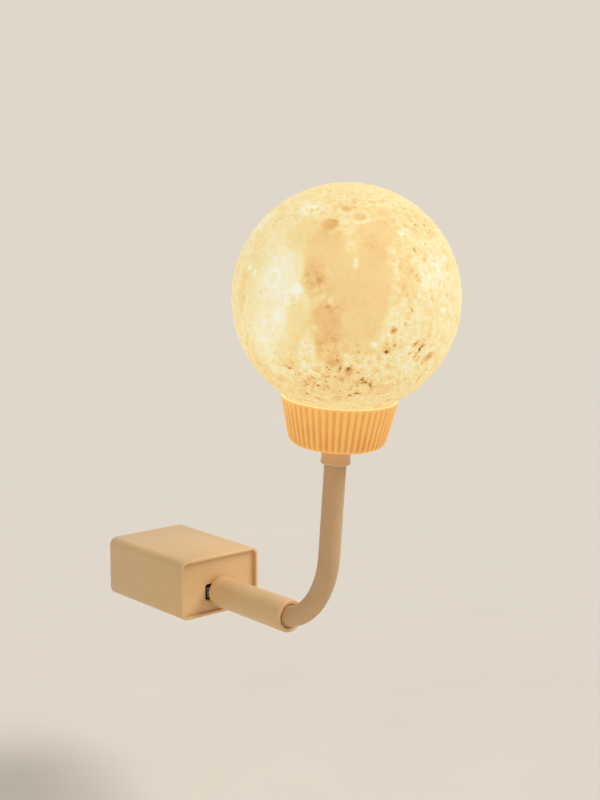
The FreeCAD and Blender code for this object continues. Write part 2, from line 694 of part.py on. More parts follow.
def neck_end():
    """The neck's lower end in the barrel: the foot, its ferrule and the gland ring."""
    foot = new_body("neck_foot", PLUG)
    rod(foot, "rod", "neck_radius", (FOOT_START, FOOT_END))
    ball(foot, "ball", "neck_radius", FOOT_END)
    rod(foot, "bore", "neck_bore", (FOOT_START + " - cut_past", FOOT_END + " + cut_past"), cut=True)
    flare(foot, FOOT_END)
    ferrule = new_body("lower_ferrule", PLUG)
    ring(ferrule, "ring", "neck_radius + ring_fit", "barrel_bore - ring_fit",
         (FOOT_START, FOOT_START + " + ferrule_length"))
    gland = new_body("gland_ring", PLUG)
    gland_end = BARREL_END + " - gland_setback"
    ring(gland, "ring", "neck_radius + ring_fit", "barrel_bore - ring_fit",
         (gland_end + " - gland_length", gland_end))


# ---------------------------------------------------------------- neck

def flare(body, out):
    """The bore's funnel in a ball, which leaves the wires room to bend."""
    return feature(body, "SubtractiveCone", "flare", Radius1="neck_bore", Radius2="neck_flare",
                   Height="neck_radius", Placement__Base__z=out)


def neck_links():
    """Straight links between the hinges, each with a socket below and a ball above."""
    lengths = ["link_%s_length" % word for word in LINKS]
    lengths += ["link_upper_length"] * UPPER_LINKS
    for number, length in enumerate(lengths, start=1):
        body = new_body("neck_link_%02d" % number, HINGES[number - 1])
        rod(body, "rod", "neck_radius", ("0", length))
        ball(body, "ball", "neck_radius", length)
        ball(body, "socket", "neck_radius + joint_clearance", "0", cut=True)
        rod(body, "bore", "neck_bore", ("0", length + " + neck_radius"), cut=True)
        flare(body, length)


def wire_path():
    """The points that the wires pass: plug board, every hinge, light board."""
    board_end = (size("adapter_depth") - size("front_recess") + size("barrel_gap")
                 + size("plug_rear") + size("part_gap") + size("plug_board_length")
                 + size("wire_gap"))
    middle, board = globe_place()
    top = board - size("wire_gap")
    points = [V(0, -board_end, -size("port_drop"))]
    points += [frame.Base for frame in HINGES]
    points.append(HEAD.multVec(V(0, 0, top)))
    return points


def neck_wires():
    """Two wires side by side through the bores, straight from hinge to hinge."""
    radius = size("wire_radius")
    wires = []
    for side in (-1, 1):
        shift = V(side * size("wire_spread"), 0, 0)
        points = [point + shift for point in wire_path()]
        pieces = []
        for start, end in zip(points, points[1:]):
            run = end - start
            pieces.append(Part.makeCylinder(radius, run.Length, start, run))
        for point in points[1:-1]:
            pieces.append(Part.makeSphere(radius, point))
        wires.append(pieces[0].fuse(pieces[1:]).removeSplitter())
    made = doc.addObject("Part::Feature", "neck_wires")
    made.Label = "neck_wires"
    made.Shape = Part.makeCompound([solid for wire in wires for solid in wire.Solids])
    made.Placement = FreeCAD.Placement()
    parts.append(made)


# ---------------------------------------------------------------- head

def neck_top():
    """The neck's upper end: the tip with its nipple, and the collar round it."""
    tip = new_body("neck_tip", HEAD)
    shoulder = CUP_BASE + " - nipple_shoulder"
    nipple_end = CUP_BASE + " + cup_floor + nipple_reach"
    rod(tip, "rod", "neck_radius", ("0", shoulder))
    rod(tip, "nipple", "nipple_radius", ("0", nipple_end))
    ball(tip, "socket", "neck_radius + joint_clearance", "0", cut=True)
    rod(tip, "bore", "neck_bore", ("0", nipple_end + " + cut_past"), cut=True)
    collar = new_body("neck_collar", HEAD)
    inner = "neck_radius + collar_fit"
    seat = "nipple_radius + collar_fit"
    step = shoulder + " + collar_fit"
    turned(collar, "ring", (
        (inner, "collar_rise"), ("collar_radius", "collar_rise"), ("collar_radius", CUP_BASE),
        (seat, CUP_BASE), (seat, step), (inner, step)))
    doc.recompute()
    low = size("collar_rise")
    round_edges(collar, "edge", "collar_round",
                lambda edge: circle_at(edge, size("collar_radius"), low))


def cup_fixings():
    """The washer and the nut that clamp the cup on the collar."""
    washer = new_body("nut_washer", HEAD)
    floor = CUP_BASE + " + cup_floor"
    ring(washer, "ring", "nipple_radius + collar_fit", "washer_radius",
         (floor, floor + " + washer_thick"))
    nut = new_body("collar_nut", HEAD)
    bottom = floor + " + washer_thick"
    made = feature(nut, "AdditivePrism", "hexagon", Circumradius="nut_across",
                   Height="nut_height", Placement__Base__z=bottom)
    made.Polygon = 6
    rod(nut, "thread", "nipple_radius + collar_fit",
        (bottom + " - cut_past", bottom + " + nut_height + cut_past"), cut=True)


def base_cup():
    """The tapered cup with its flutes, a plain lip, and three screw posts inside."""
    body = new_body("base_cup", HEAD)
    bore = "nipple_radius + collar_fit"
    bottom = "(cup_mouth + cup_wall - cup_height * %s)" % TAPER
    inside = "(cup_mouth - (cup_height - cup_floor) * %s)" % TAPER
    turned(body, "wall", (
        (bore, CUP_BASE), (bottom, CUP_BASE), ("cup_mouth + cup_wall", CUP_RIM),
        ("cup_mouth", CUP_RIM),
        (inside, CUP_BASE + " + cup_floor"), (bore, CUP_BASE + " + cup_floor")))
    doc.recompute()
    low = size("collar_rise") + size("collar_height")
    rise = low + size("cup_floor")
    least = size("cup_mouth") / 2
    round_edges(body, "bottom_edge", "cup_round",
                lambda edge: edge.isClosed() and edge.BoundBox.XMax > least
                and abs(edge.BoundBox.ZMax - low) < SAME)
    round_edges(body, "inner_edge", "cup_round - cup_wall",
                lambda edge: edge.isClosed() and edge.BoundBox.XMax > least
                and abs(edge.BoundBox.ZMax - rise) < SAME)
    groove = feature(
        body, "SubtractiveCylinder", "groove", Radius="flute_radius",
        Height="(cup_height - cup_lip) / cos(cup_taper * 1 deg)",
        Placement__Base__x=bottom + " + flute_offset", Placement__Base__z=CUP_BASE)
    groove.Placement = FreeCAD.Placement(
        V(0, 0, 0), FreeCAD.Rotation(V(0, 1, 0), size("cup_taper")))
    round_pattern(body, "flutes", [groove], "flute_count")
    floor = CUP_BASE + " + cup_floor"
    post = rod(body, "post", "post_radius", (floor + " - cup_floor / 2", BOARD_BASE),
               "post_circle")
    hole = rod(body, "pilot", "pilot_radius",
               (floor + " + part_gap", BOARD_BASE + " + cut_past"), "post_circle", cut=True)
    round_pattern(body, "posts", [post, hole], "post_count")


def light_board():
    """The round board on the posts, with its chips, resistors and screws."""
    board = new_body("led_board", HEAD)
    rod(board, "disc", "led_board_radius", (BOARD_BASE, BOARD_FACE))
    rod(board, "wire_hole", "led_board_hole", (BOARD_BASE + " - cut_past", BOARD_FACE + " + cut_past"),
        cut=True)
    hole = rod(board, "screw_hole", "screw_hole",
               (BOARD_BASE + " - cut_past", BOARD_FACE + " + cut_past"), "post_circle", cut=True)
    round_pattern(board, "screw_holes", [hole], "post_count")
    chips = new_body("led_chips", HEAD)
    chip = block(chips, "chip", ("led_circle - led_side / 2", "led_circle + led_side / 2"),
                 ("-led_side / 2", "led_side / 2"), (BOARD_FACE, BOARD_FACE + " + led_height"))
    round_pattern(chips, "chips", [chip], "led_count")
    resistors = new_body("led_resistors", HEAD)
    resistor = block(
        resistors, "resistor",
        ("-led_resistor_circle - resistor_width / 2",
         "-led_resistor_circle + resistor_width / 2"),
        ("-resistor_length / 2", "resistor_length / 2"),
        (BOARD_FACE, BOARD_FACE + " + resistor_height"))
    round_pattern(resistors, "resistors", [resistor], "post_count")
    screws = new_body("board_screws", HEAD)
    head = rod(screws, "head", "screw_head_radius",
               (BOARD_FACE, BOARD_FACE + " + screw_head_height"), "post_circle")
    shank = rod(screws, "shank", "screw_radius", (BOARD_FACE + " - screw_length", BOARD_FACE),
                "post_circle")
    round_pattern(screws, "screws", [head, shank], "post_count")


def shade_ring():
    """The ring in the shade's opening; its flange rests in the cup's taper."""
    body = new_body("shade_ring", HEAD)
    outer = "(shade_opening - shade_fit)"
    inner = "(shade_opening - shade_fit - ring_wall)"
    reach = "(cup_mouth - shade_fit - (%s - %s) * %s)" % (CUP_RIM, FLANGE_BASE, TAPER)
    top = FLANGE_TOP + " + ring_tube"
    turned(body, "ring", (
        (inner, FLANGE_BASE), (reach, FLANGE_BASE), (reach, FLANGE_TOP), (outer, FLANGE_TOP),
        (outer, top), (inner, top)))


def toward(round_angle, up_angle):
    """A direction from the globe's middle; both angles are in degrees."""
    turn = math.radians(round_angle)
    rise = math.radians(up_angle)
    return V(math.sin(turn) * math.cos(rise), -math.cos(turn) * math.cos(rise), math.sin(rise))


def crater(direction, radius, globe):
    """The ball that cuts one dish into the globe's outside."""
    depth = min(size("crater_dish") * radius, size("crater_depth"))
    sag = globe - math.sqrt(globe ** 2 - radius ** 2)
    curve = (radius ** 2 + (depth - sag) ** 2) / (2 * (depth - sag))
    return Part.makeSphere(curve, direction * (globe - depth + curve))


def small_craters(globe):
    """Craters spread by the golden angle, in sizes that take turns, off what is cut already."""
    golden = 180 * (3 - math.sqrt(5))
    count = int(size("crater_count"))
    taken = [(toward(turn, rise), radius) for turn, rise, radius in BASINS + BIG_CRATERS]
    for number in range(count):
        height = 1 - (2 * number + 1) * CRATER_COVER / count
        direction = toward(number * golden, math.degrees(math.asin(height)))
        radius = size("crater_small") + size("crater_step") * (number % CRATER_KINDS)
        reach = radius + size("crater_gap")
        if all(direction.getAngle(other) * globe > reach + wide for other, wide in taken):
            yield direction, radius


def moon_shade():
    """The hollow globe with its bottom opening, flat basins and craters."""
    globe = size("globe_radius")
    past = size("cut_past")
    inside = globe - size("shade_wall")
    middle = V(0, 0, 0)
    shell = Part.makeSphere(globe)
    opening = Part.makeCylinder(size("shade_opening"), globe, middle, -Z_AXIS)
    skin = Part.makeSphere(globe + past).cut(Part.makeSphere(globe - size("basin_depth")))
    basins = [Part.makeCylinder(radius, globe + 2 * past, middle, toward(turn, rise))
              for turn, rise, radius in BASINS]
    plains = basins[0].fuse(basins[1:]).common(skin)
    craters = [crater(toward(turn, rise), radius, globe) for turn, rise, radius in BIG_CRATERS]
    craters += [crater(direction, radius, globe) for direction, radius in small_craters(globe)]
    shape = shell.cut([Part.makeSphere(inside), opening, plains] + craters).removeSplitter()
    made = doc.addObject("Part::Feature", "moon_shade")
    made.Label = "moon_shade"
    made.Shape = shape
    rise, board = globe_place()
    made.Placement = FreeCAD.Placement(HEAD.multVec(V(0, 0, rise)), HEAD.Rotation)
    parts.append(made)


def build():
    """Make every sub-part, from the wall outward."""
    adapter_housing()
    front_plate()
    back_plate()
    mains_pins()
    pin_leads()
    port()
    adapter_board()
    transformer()
    adapter_parts()
    plug_barrel()
    plug_nose()
    plug_board()
    neck_end()
    neck_links()
    neck_wires()
    neck_top()
    cup_fixings()
    base_cup()
    light_board()
    shade_ring()
    moon_shade()
    doc.recompute()


def export():
    """Check every object and every sub-part, then write each sub-part's file."""
    for item in doc.Objects:
        if "Invalid" in item.State or "Error" in item.State:
            raise RuntimeError("%s failed: %s" % (item.Name, item.State))
    for item in parts:
        if item.Shape.isNull() or not item.Shape.isValid() or not item.Shape.Solids:
            raise RuntimeError("%s has no valid solid" % item.Label)
    os.makedirs("parts", exist_ok=True)
    for item in parts:
        item.Shape.exportStep("parts/%s.step" % item.Label)
        print("%-22s %2d solid, %9.1f mm3" % (item.Label, len(item.Shape.Solids),
                                              item.Shape.Volume))


build()
export()
for number, frame in enumerate(HINGES, start=1):
    print("hinge %2d at y %.4f, z %.4f" % (number, frame.Base.y, frame.Base.z))
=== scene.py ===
"""Dresses a plug-in moon night light: a cratered globe on a fluted cup, a bendable neck, a round
plug barrel and a mains adapter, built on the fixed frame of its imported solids, in metres."""

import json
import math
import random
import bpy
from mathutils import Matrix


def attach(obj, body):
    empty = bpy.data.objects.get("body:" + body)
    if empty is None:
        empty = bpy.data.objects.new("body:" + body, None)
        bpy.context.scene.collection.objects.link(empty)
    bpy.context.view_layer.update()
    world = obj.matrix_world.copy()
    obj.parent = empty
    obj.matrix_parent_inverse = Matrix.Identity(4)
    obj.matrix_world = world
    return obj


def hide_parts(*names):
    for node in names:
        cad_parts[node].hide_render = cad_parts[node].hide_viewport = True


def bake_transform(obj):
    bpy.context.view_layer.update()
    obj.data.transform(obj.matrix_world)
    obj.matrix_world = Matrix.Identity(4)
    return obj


bl_info = {
    "name": "Moon Night Light",
    "version": (1, 0, 0),
    "blender": (4, 5, 0),
    "location": "3D View > Sidebar > Moon Light",
    "description": "Builds the visible pieces of a plug-in moon night light on its packed frame",
    "category": "Object",
}

import bmesh
import bpy
import numpy as np
from bpy.props import FloatProperty, FloatVectorProperty, IntProperty, PointerProperty
from bpy.types import Operator, Panel, PropertyGroup
from mathutils import Matrix, Vector, noise

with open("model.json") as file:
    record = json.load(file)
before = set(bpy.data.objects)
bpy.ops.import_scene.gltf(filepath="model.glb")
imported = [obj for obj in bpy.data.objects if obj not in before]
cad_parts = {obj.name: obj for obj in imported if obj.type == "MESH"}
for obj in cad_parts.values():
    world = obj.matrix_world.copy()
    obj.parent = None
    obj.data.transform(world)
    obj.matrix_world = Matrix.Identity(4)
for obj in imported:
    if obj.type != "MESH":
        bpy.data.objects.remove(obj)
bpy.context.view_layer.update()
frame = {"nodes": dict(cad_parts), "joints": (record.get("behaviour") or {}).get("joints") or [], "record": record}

X_AXIS = Vector((1, 0, 0))
OUT = Vector((0, -1, 0))
MM = 0.001
TINY = 1e-6

# The hole in the cup's floor and in the collar's seat, for the neck's threaded end.
NIPPLE_HOLE = 4.1 * MM


# ------------ places in the frame

def placed(origin, axis):
    """The place whose Z runs along an axis and whose X stays along the wall."""
    z = Vector(axis).normalized()
    y = z.cross(X_AXIS)
    turn = Matrix((X_AXIS, y, z)).transposed().to_4x4()
    return Matrix.Translation(origin) @ turn


def extent(node, place):
    """A solid's lowest and highest corner, measured in a place of its own."""
    back = place.inverted()
    points = np.array([back @ vert.co for vert in frame["nodes"][node].data.vertices])
    return Vector(points.min(0)), Vector(points.max(0))


HINGE_JOINTS = [joint for joint in frame["joints"] if joint["type"] == "hinge"]
HINGES = [Vector(joint["pos_m"]) for joint in HINGE_JOINTS]
SHADE_INSIDE = next(opening["box_m"] for opening in frame["record"]["physics"]["openings"]
                    if opening["name"] == "shade_inside")
GLOBE = (Vector(SHADE_INSIDE[0]) + Vector(SHADE_INSIDE[1])) / 2
HEAD = placed(HINGES[-1], GLOBE - HINGES[-1])
PLUG = placed(Vector((0, 0, HINGES[0].z)), OUT)
ADAPTER = placed(Vector((0, 0, 0)), OUT)


# ------------ colours and sizes

def tone(red, green, blue):
    """A colour written as 8-bit display numbers, as the scene's own linear numbers."""
    def linear(value):
        share = value / 255
        return share / 12.92 if share <= 0.04045 else ((share + 0.055) / 1.055) ** 2.4
    return linear(red), linear(green), linear(blue)


def colour_setting(name, description, default):
    """A colour that a user can change."""
    return FloatVectorProperty(name=name, description=description, default=default,
                               subtype="COLOR", min=0, max=1)


def length_setting(name, description, default):
    """A length that a user can change."""
    return FloatProperty(name=name, description=description, default=default,
                         subtype="DISTANCE", unit="LENGTH", min=0)


class ShadeSettings(PropertyGroup):
    """The moon shade's form and glow."""
    cells: IntProperty(name="Cells", description="Mesh cells along a sixth of the globe",
                       default=120, min=8, max=124)
    craters: IntProperty(name="Craters", description="Fine craters spread over the globe",
                         default=1400, min=0)
    wall: length_setting("Wall", "Thickness of the shell", 1.8 * MM)
    glow: FloatProperty(name="Glow", description="Share of the colour that comes from inside",
                        default=0.72, min=0, max=1, subtype="FACTOR")


class CupSettings(PropertyGroup):
    """The fluted cup below the globe."""
    flutes: IntProperty(name="Flutes", description="Ridges round the cup", default=50, min=3)
    depth: length_setting("Flute depth", "Depth of the groove between two ridges", 0.5 * MM)
    lip: length_setting("Lip", "Plain band above the flutes", 0.5 * MM)
    wall: length_setting("Wall", "Thickness of the side", 1.9 * MM)
    rounding: length_setting("Rounding", "Rounding of the bottom edge", 3.6 * MM)
    taper: FloatProperty(name="Taper", description="Slope of the side", subtype="ANGLE",
                         default=math.radians(13), min=0, max=1)


class NeckSettings(PropertyGroup):
    """The bendable sleeve."""
    wall: length_setting("Wall", "Thickness of the sleeve", 0.8 * MM)
    # The silicone's tan is partly its own colour and partly the globe's warm light painted in.
    colour: colour_setting("Colour", "Silicone of the sleeve", tone(206, 168, 124))


class HousingSettings(PropertyGroup):
    """The barrel, the collar and the adapter."""
    corner: length_setting("Corner", "Rounding of the adapter's long edges", 4.0 * MM)
    rim: length_setting("Rim", "Width of the rim round the front plate", 1.4 * MM)
    # The moulded ivory is partly its own colour and partly the globe's warm light painted in as a tan tint.
    colour: colour_setting("Colour", "Moulded plastic", tone(228, 190, 138))


class StageSettings(PropertyGroup):
    """Floor, light and camera."""
    floor: colour_setting("Floor", "Floor", tone(232, 226, 216))
    background: colour_setting("Background", "What shows behind the floor", tone(223, 215, 202))
    drop: length_setting("Drop", "Floor below the adapter's middle", 0.112)
    key: FloatProperty(name="Key light", description="Strength of the main lamp",
                       default=2.0, min=0)
    fill: FloatProperty(name="Fill light", description="Strength of the light all round",
                        default=0.4, min=0)


# ------------ mesh helpers

def settled(bm, name, material, place=None, crease=35):
    """A finished object at the origin, from a mesh that was shaped in its own place."""
    if place is not None:
        bmesh.ops.transform(bm, matrix=place, verts=bm.verts[:])
    limit = math.radians(crease)
    for face in bm.faces:
        face.smooth = True
    for edge in bm.edges:
        edge.smooth = len(edge.link_faces) == 2 and edge.calc_face_angle(0) < limit
    mesh = bpy.data.meshes.new(name)
    bm.to_mesh(mesh)
    bm.free()
    mesh.materials.append(material)
    piece = bpy.data.objects.new(name, mesh)
    bpy.context.scene.collection.objects.link(piece)
    return piece


def rounded_outline(bm, corners, segments=5):
    """One flat face whose corners are (x, y, z, rounding)."""
    verts = [bm.verts.new(corner[:3]) for corner in corners]
    bm.faces.new(verts)
    for vert, corner in zip(verts, corners):
        if corner[3] > 0:
            bmesh.ops.bevel(bm, geom=[vert], offset=corner[3], segments=segments, profile=0.5,
                            affect="VERTICES", material=-1)


def turned(corners, steps, segments=5):
    """A closed solid turned round Z; each corner is (radius, height, rounding)."""
    bm = bmesh.new()
    rounded_outline(bm, [(radius, 0, height, rounding) for radius, height, rounding in corners],
                    segments)
    bmesh.ops.delete(bm, geom=bm.faces[:], context="FACES_ONLY")
    on_axis = [edge for edge in bm.edges if max(vert.co.x for vert in edge.verts) < 1e-7]
    bmesh.ops.delete(bm, geom=on_axis, context="EDGES")
    bmesh.ops.spin(bm, geom=bm.verts[:] + bm.edges[:], cent=(0, 0, 0), axis=(0, 0, 1),
                   angle=2 * math.pi, steps=steps, use_merge=True)
    bmesh.ops.remove_doubles(bm, verts=bm.verts[:], dist=1e-7)
    bmesh.ops.recalc_face_normals(bm, faces=bm.faces[:])
    return bm


def thickened(bm, faces, depth):
    """Gives flat faces a depth along Z and closes the solid."""
    made = bmesh.ops.extrude_face_region(bm, geom=faces, use_keep_orig=True)
    moved = [item for item in made["geom"] if isinstance(item, bmesh.types.BMVert)]
    bmesh.ops.translate(bm, verts=moved, vec=(0, 0, depth))
    bmesh.ops.recalc_face_normals(bm, faces=bm.faces[:])


def softened(bm, wanted, radius, segments=3):
    """Rounds the edges that a test picks."""
    edges = [edge for edge in bm.edges if wanted(edge)]
    bmesh.ops.bevel(bm, geom=edges, offset=radius, segments=segments, profile=0.5,
                    affect="EDGES", material=-1, clamp_overlap=True)


def rectangle(half_x, half_y, z, corner):
    """The four corners of a rounded rectangle."""
    return [(sx * half_x, sy * half_y, z, corner)
            for sx, sy in ((-1, -1), (1, -1), (1, 1), (-1, 1))]


def smooth_share(low, high, value):
    """0 below low, 1 above high, and a soft step between; works on arrays."""
    share = np.clip((value - low) / (high - low), 0, 1)
    return share * share * (3 - 2 * share)


# ------------ materials

class Finish:
    """One procedural material, put together node by node."""

    def __init__(self, **plain):
        self.material = bpy.data.materials.new("finish")
        self.material.use_nodes = True
        self.tree = self.material.node_tree
        self.shader = self.tree.nodes["Principled BSDF"]
        for socket, value in plain.items():
            self.shader.inputs[socket.replace("_", " ")].default_value = value
        self.place = self.add("TexCoord").outputs["Object"]

    def add(self, kind, inputs=None, **settings):
        made = self.tree.nodes.new("ShaderNode" + kind)
        for name, value in settings.items():
            setattr(made, name, value)
        for key, value in (inputs or {}).items():
            self.feed(made.inputs[key], value)
        return made

    def feed(self, socket, value):
        if isinstance(value, bpy.types.NodeSocket):
            self.tree.links.new(value, socket)
        else:
            socket.default_value = value

    def noise(self, scale, detail, roughness, stretch=None):
        place = self.place
        if stretch:
            place = self.add("Mapping", {"Vector": place, "Scale": stretch}).outputs[0]
        return self.add("TexNoise", {"Vector": place, "Scale": scale, "Detail": detail,
                                     "Roughness": roughness}).outputs["Fac"]

    def painted(self, *names):
        """The values that the mesh carries under these names."""
        return [self.add("Attribute", attribute_name=name).outputs["Fac"] for name in names]

    def math(self, operation, first, second=0.0):
        return self.add("Math", {0: first, 1: second}, operation=operation).outputs[0]

    def spread(self, value, low, high, to_low, to_high):
        """Maps a range of values to another."""
        return self.add("MapRange", {"Value": value, "From Min": low, "From Max": high,
                                     "To Min": to_low, "To Max": to_high}).outputs[0]

    def ramp(self, value, stops):
        """Colours at places from 0 to 1, blended between."""
        made = self.add("ValToRGB", {"Fac": value})
        ramp = made.color_ramp
        while len(ramp.elements) < len(stops):
            ramp.elements.new(1.0)
        for element, (place, colour) in zip(ramp.elements, stops):
            element.position = place
            element.color = (*colour, 1.0)
        return made.outputs["Color"]

    def scaled(self, colour, share):
        """A colour times a number."""
        return self.add("Mix", {"Factor": 1.0, 6: colour, 7: (share, share, share, 1.0)},
                        data_type="RGBA", blend_type="MULTIPLY").outputs[2]

    def bump(self, height, distance, strength):
        made = self.add("Bump", {"Height": height, "Distance": distance, "Strength": strength})
        self.feed(self.shader.inputs["Normal"], made.outputs[0])

    def surface(self, **links):
        """Feeds the shader's sockets and gives the material."""
        for socket, value in links.items():
            self.feed(self.shader.inputs[socket.replace("_", " ")], value)
        return self.material


def shade_of(colour, share):
    """A paler or darker colour."""
    return tuple(min(1.0, channel * share) for channel in colour[:3])


def moulded(colour, roughness, grain=0.02, **plain):
    """Moulded plastic: faint flow marks, a fine spark-eroded grain and uneven gloss."""
    made = Finish(**plain)
    flow = made.noise(60, 3, 0.6)
    fine = made.noise(2400, 2, 0.5)
    colours = made.ramp(made.math("ADD", made.math("MULTIPLY", flow, 0.8),
                                  made.math("MULTIPLY", fine, 0.2)),
                        ((0.3, shade_of(colour, 0.96)), (0.7, shade_of(colour, 1.04))))
    made.bump(fine, grain * MM, 0.6)
    return made.surface(Base_Color=colours,
                        Roughness=made.spread(flow, 0.3, 0.7, roughness - 0.05, roughness + 0.07))


def metal(colour, roughness):
    """Sheet metal with a faint brushed grain and dull patches."""
    made = Finish(Metallic=1.0)
    grain = made.noise(500, 2, 0.5, (1, 1, 8))
    patch = made.noise(120, 2, 0.5)
    made.bump(grain, 0.001 * MM, 0.5)
    return made.surface(
        Base_Color=made.ramp(patch, ((0.35, shade_of(colour, 0.92)), (0.65, shade_of(colour, 1.03)))),
        Roughness=made.spread(grain, 0.3, 0.7, roughness - 0.03, roughness + 0.04))


def circuit_board(colour, track):
    """Solder resist over copper: tracks show as paler blocks."""
    made = Finish(Coat_Weight=0.2)
    tracks = made.add("TexBrick", {"Vector": made.place, "Scale": 260.0,
                                   "Mortar Size": 0.03, "Color1": (0, 0, 0, 1),
                                   "Color2": (1, 1, 1, 1), "Mortar": (0, 0, 0, 1)})
    blot = made.math("MULTIPLY", tracks.outputs["Color"], made.noise(200, 2, 0.5))
    made.bump(blot, 0.03 * MM, 0.5)
    return made.surface(Base_Color=made.ramp(blot, ((0.25, colour), (0.6, track))),
                        Roughness=made.spread(blot, 0, 1, 0.32, 0.5))


def speckled(colour, other, scale, roughness):
    """A body with a visible grain, such as ferrite or ceramic."""
    made = Finish()
    grain = made.noise(scale, 5, 0.65)
    made.bump(grain, 0.03 * MM, 0.7)
    return made.surface(
        Base_Color=made.ramp(grain, ((0.35, colour), (0.65, other))),
        Roughness=made.spread(grain, 0.3, 0.7, roughness - 0.08, roughness + 0.1))


def wound_tape(colour):
    """Thin tape wound in overlapping turns."""
    made = Finish(Coat_Weight=0.3)
    wave = made.add("TexWave", {"Vector": made.place, "Scale": 90.0, "Distortion": 1.2,
                                "Detail": 2.0}, wave_type="BANDS", bands_direction="Z")
    turns = wave.outputs["Fac"]
    made.bump(turns, 0.05 * MM, 0.6)
    return made.surface(
        Base_Color=made.ramp(turns, ((0.2, shade_of(colour, 0.8)), (0.8, shade_of(colour, 1.05)))),
        Roughness=made.spread(turns, 0, 1, 0.3, 0.45))


def silicone(colour):
    """Matt silicone: a soft powdery bloom, faint mould marks and a fine dust of specks."""
    made = Finish(Sheen_Weight=0.12, Sheen_Roughness=0.5, Specular_IOR_Level=0.35)
    bloom = made.noise(85, 4, 0.6)
    fine = made.noise(1700, 3, 0.6)
    mixed = made.math("ADD", made.math("MULTIPLY", bloom, 0.7), made.math("MULTIPLY", fine, 0.3))
    made.bump(mixed, 0.04 * MM, 0.5)
    return made.surface(
        Base_Color=made.ramp(mixed, ((0.3, shade_of(colour, 0.93)), (0.7, shade_of(colour, 1.04)))),
        Roughness=made.spread(bloom, 0.3, 0.7, 0.5, 0.66))


# Colours of the lit shade, from the darkest pit to the brightest ray.
MOON_STOPS = (
    (0.00, tone(96, 66, 26)),
    (0.16, tone(190, 140, 70)),
    (0.32, tone(240, 190, 118)),
    (0.46, tone(249, 213, 146)),
    (0.62, tone(251, 227, 161)),
    (0.80, tone(253, 239, 189)),
    (1.00, tone(255, 252, 234)),
)


def moon_skin(glow):
    """Printed shade lit from inside: thick basins look peach, thin highlands pale."""
    made = Finish(Roughness=0.62, Emission_Strength=glow, Specular_IOR_Level=0.3)
    light, rough, pitted = made.painted("light", "rough", "pitted")
    mottle = made.spread(made.noise(620, 9, 0.76), 0.3, 0.7, -0.19, 0.17)
    vein = made.math("ABSOLUTE", made.spread(made.noise(230, 6, 0.65), 0.3, 0.7, -1, 1))
    vein = made.spread(vein, 0.0, 0.2, 0.07, 0)
    grain = made.math("MULTIPLY", made.math("ADD", mottle, vein), rough)
    speck = made.add("TexVoronoi", {"Vector": made.place, "Scale": 480}).outputs["Distance"]
    pit = made.spread(speck, 0.14, 0.30, 1, 0)
    rare = made.spread(made.noise(330, 2, 0.5), 0.49, 0.55, 0, 1)
    pits = made.math("MULTIPLY", made.math("MULTIPLY", pit, rare), pitted)
    value = made.math("ADD", light, grain)
    value = made.math("SUBTRACT", value, made.math("MULTIPLY", pits, 0.42))
    colours = made.ramp(value, MOON_STOPS)
    made.bump(value, 0.25 * MM, 0.7)
    return made.surface(Base_Color=made.scaled(colours, 1 - glow), Emission_Color=colours)


def cup_skin(glow):
    """Translucent cup: the glow is strongest at the rim, and the grooves are painted deeper orange as shade."""
    made = Finish(Roughness=0.42, Emission_Strength=glow)
    rise, groove = made.painted("rise", "groove")
    cloud = made.spread(made.noise(110, 3, 0.6), 0.3, 0.7, -0.05, 0.05)
    fine = made.noise(1500, 3, 0.6)
    value = made.math("ADD", rise, cloud)
    # Painted shade: the grooves between the ridges are darkened.
    value = made.math("SUBTRACT", value, made.math("MULTIPLY", groove, 0.34))
    colours = made.ramp(value, (
        (0.00, tone(208, 132, 58)),
        (0.20, tone(228, 156, 74)),
        (0.45, tone(250, 184, 96)),
        (0.70, tone(254, 200, 106)),
        (1.00, tone(255, 240, 176)),
    ))
    made.bump(fine, 0.02 * MM, 0.5)
    return made.surface(Base_Color=made.scaled(colours, 1 - glow), Emission_Color=colours)


def light_chip():
    """Phosphor behind clear resin, lit."""
    made = Finish(Roughness=0.2, Coat_Weight=0.6, Emission_Strength=0.6)
    grain = made.noise(1500, 4, 0.6)
    colours = made.ramp(grain, ((0.3, tone(250, 205, 90)), (0.7, tone(255, 236, 150))))
    made.bump(grain, 0.02 * MM, 0.4)
    return made.surface(Base_Color=made.scaled(colours, 0.5), Emission_Color=colours)


def finishes():
    """Every finish, by the name of its slot."""
    settings = bpy.context.scene
    ivory = settings.moon_housing.colour
    glow = settings.moon_shade.glow
    return {
        "housing_plastic": moulded(ivory, 0.36, 0.015),
        "barrel_plastic": moulded(shade_of(ivory, 0.98), 0.38),
        "collar_plastic": moulded(shade_of(ivory, 0.94), 0.42),
        "cup_plastic": cup_skin(glow),
        "moon_plastic": moon_skin(glow),
        "ring_plastic": moulded(tone(240, 226, 196), 0.5),
        "neck_silicone": silicone(settings.moon_neck.colour),
        "pin_brass": metal(tone(226, 198, 128), 0.24),
        "contact_gold": metal(tone(236, 196, 96), 0.2),
        "plated_steel": metal(tone(206, 206, 208), 0.26),
        "black_plastic": moulded(tone(30, 30, 32), 0.5),
        "board_green": circuit_board(tone(20, 84, 48), tone(58, 132, 84)),
        "board_white": circuit_board(tone(226, 226, 220), tone(242, 240, 232)),
        "ferrite": speckled(tone(54, 54, 58), tone(76, 76, 80), 1400, 0.6),
        "winding_tape": wound_tape(tone(226, 190, 56)),
        "capacitor_sleeve": moulded(tone(24, 38, 78), 0.3, Coat_Weight=0.3),
        "fuse_body": speckled(tone(186, 172, 138), tone(206, 194, 162), 1100, 0.5),
        "resistor_ceramic": speckled(tone(34, 34, 38), tone(56, 54, 54), 1600, 0.45),
        "light_chip": light_chip(),
        "wire_insulation": moulded(tone(176, 34, 26), 0.45),
    }


def finish_of(slot):
    """The material of a slot; the first call makes them all."""
    if slot + "_made" not in bpy.data.materials:
        for name, material in finishes().items():
            material.name = name + "_made"
    return bpy.data.materials[slot + "_made"]


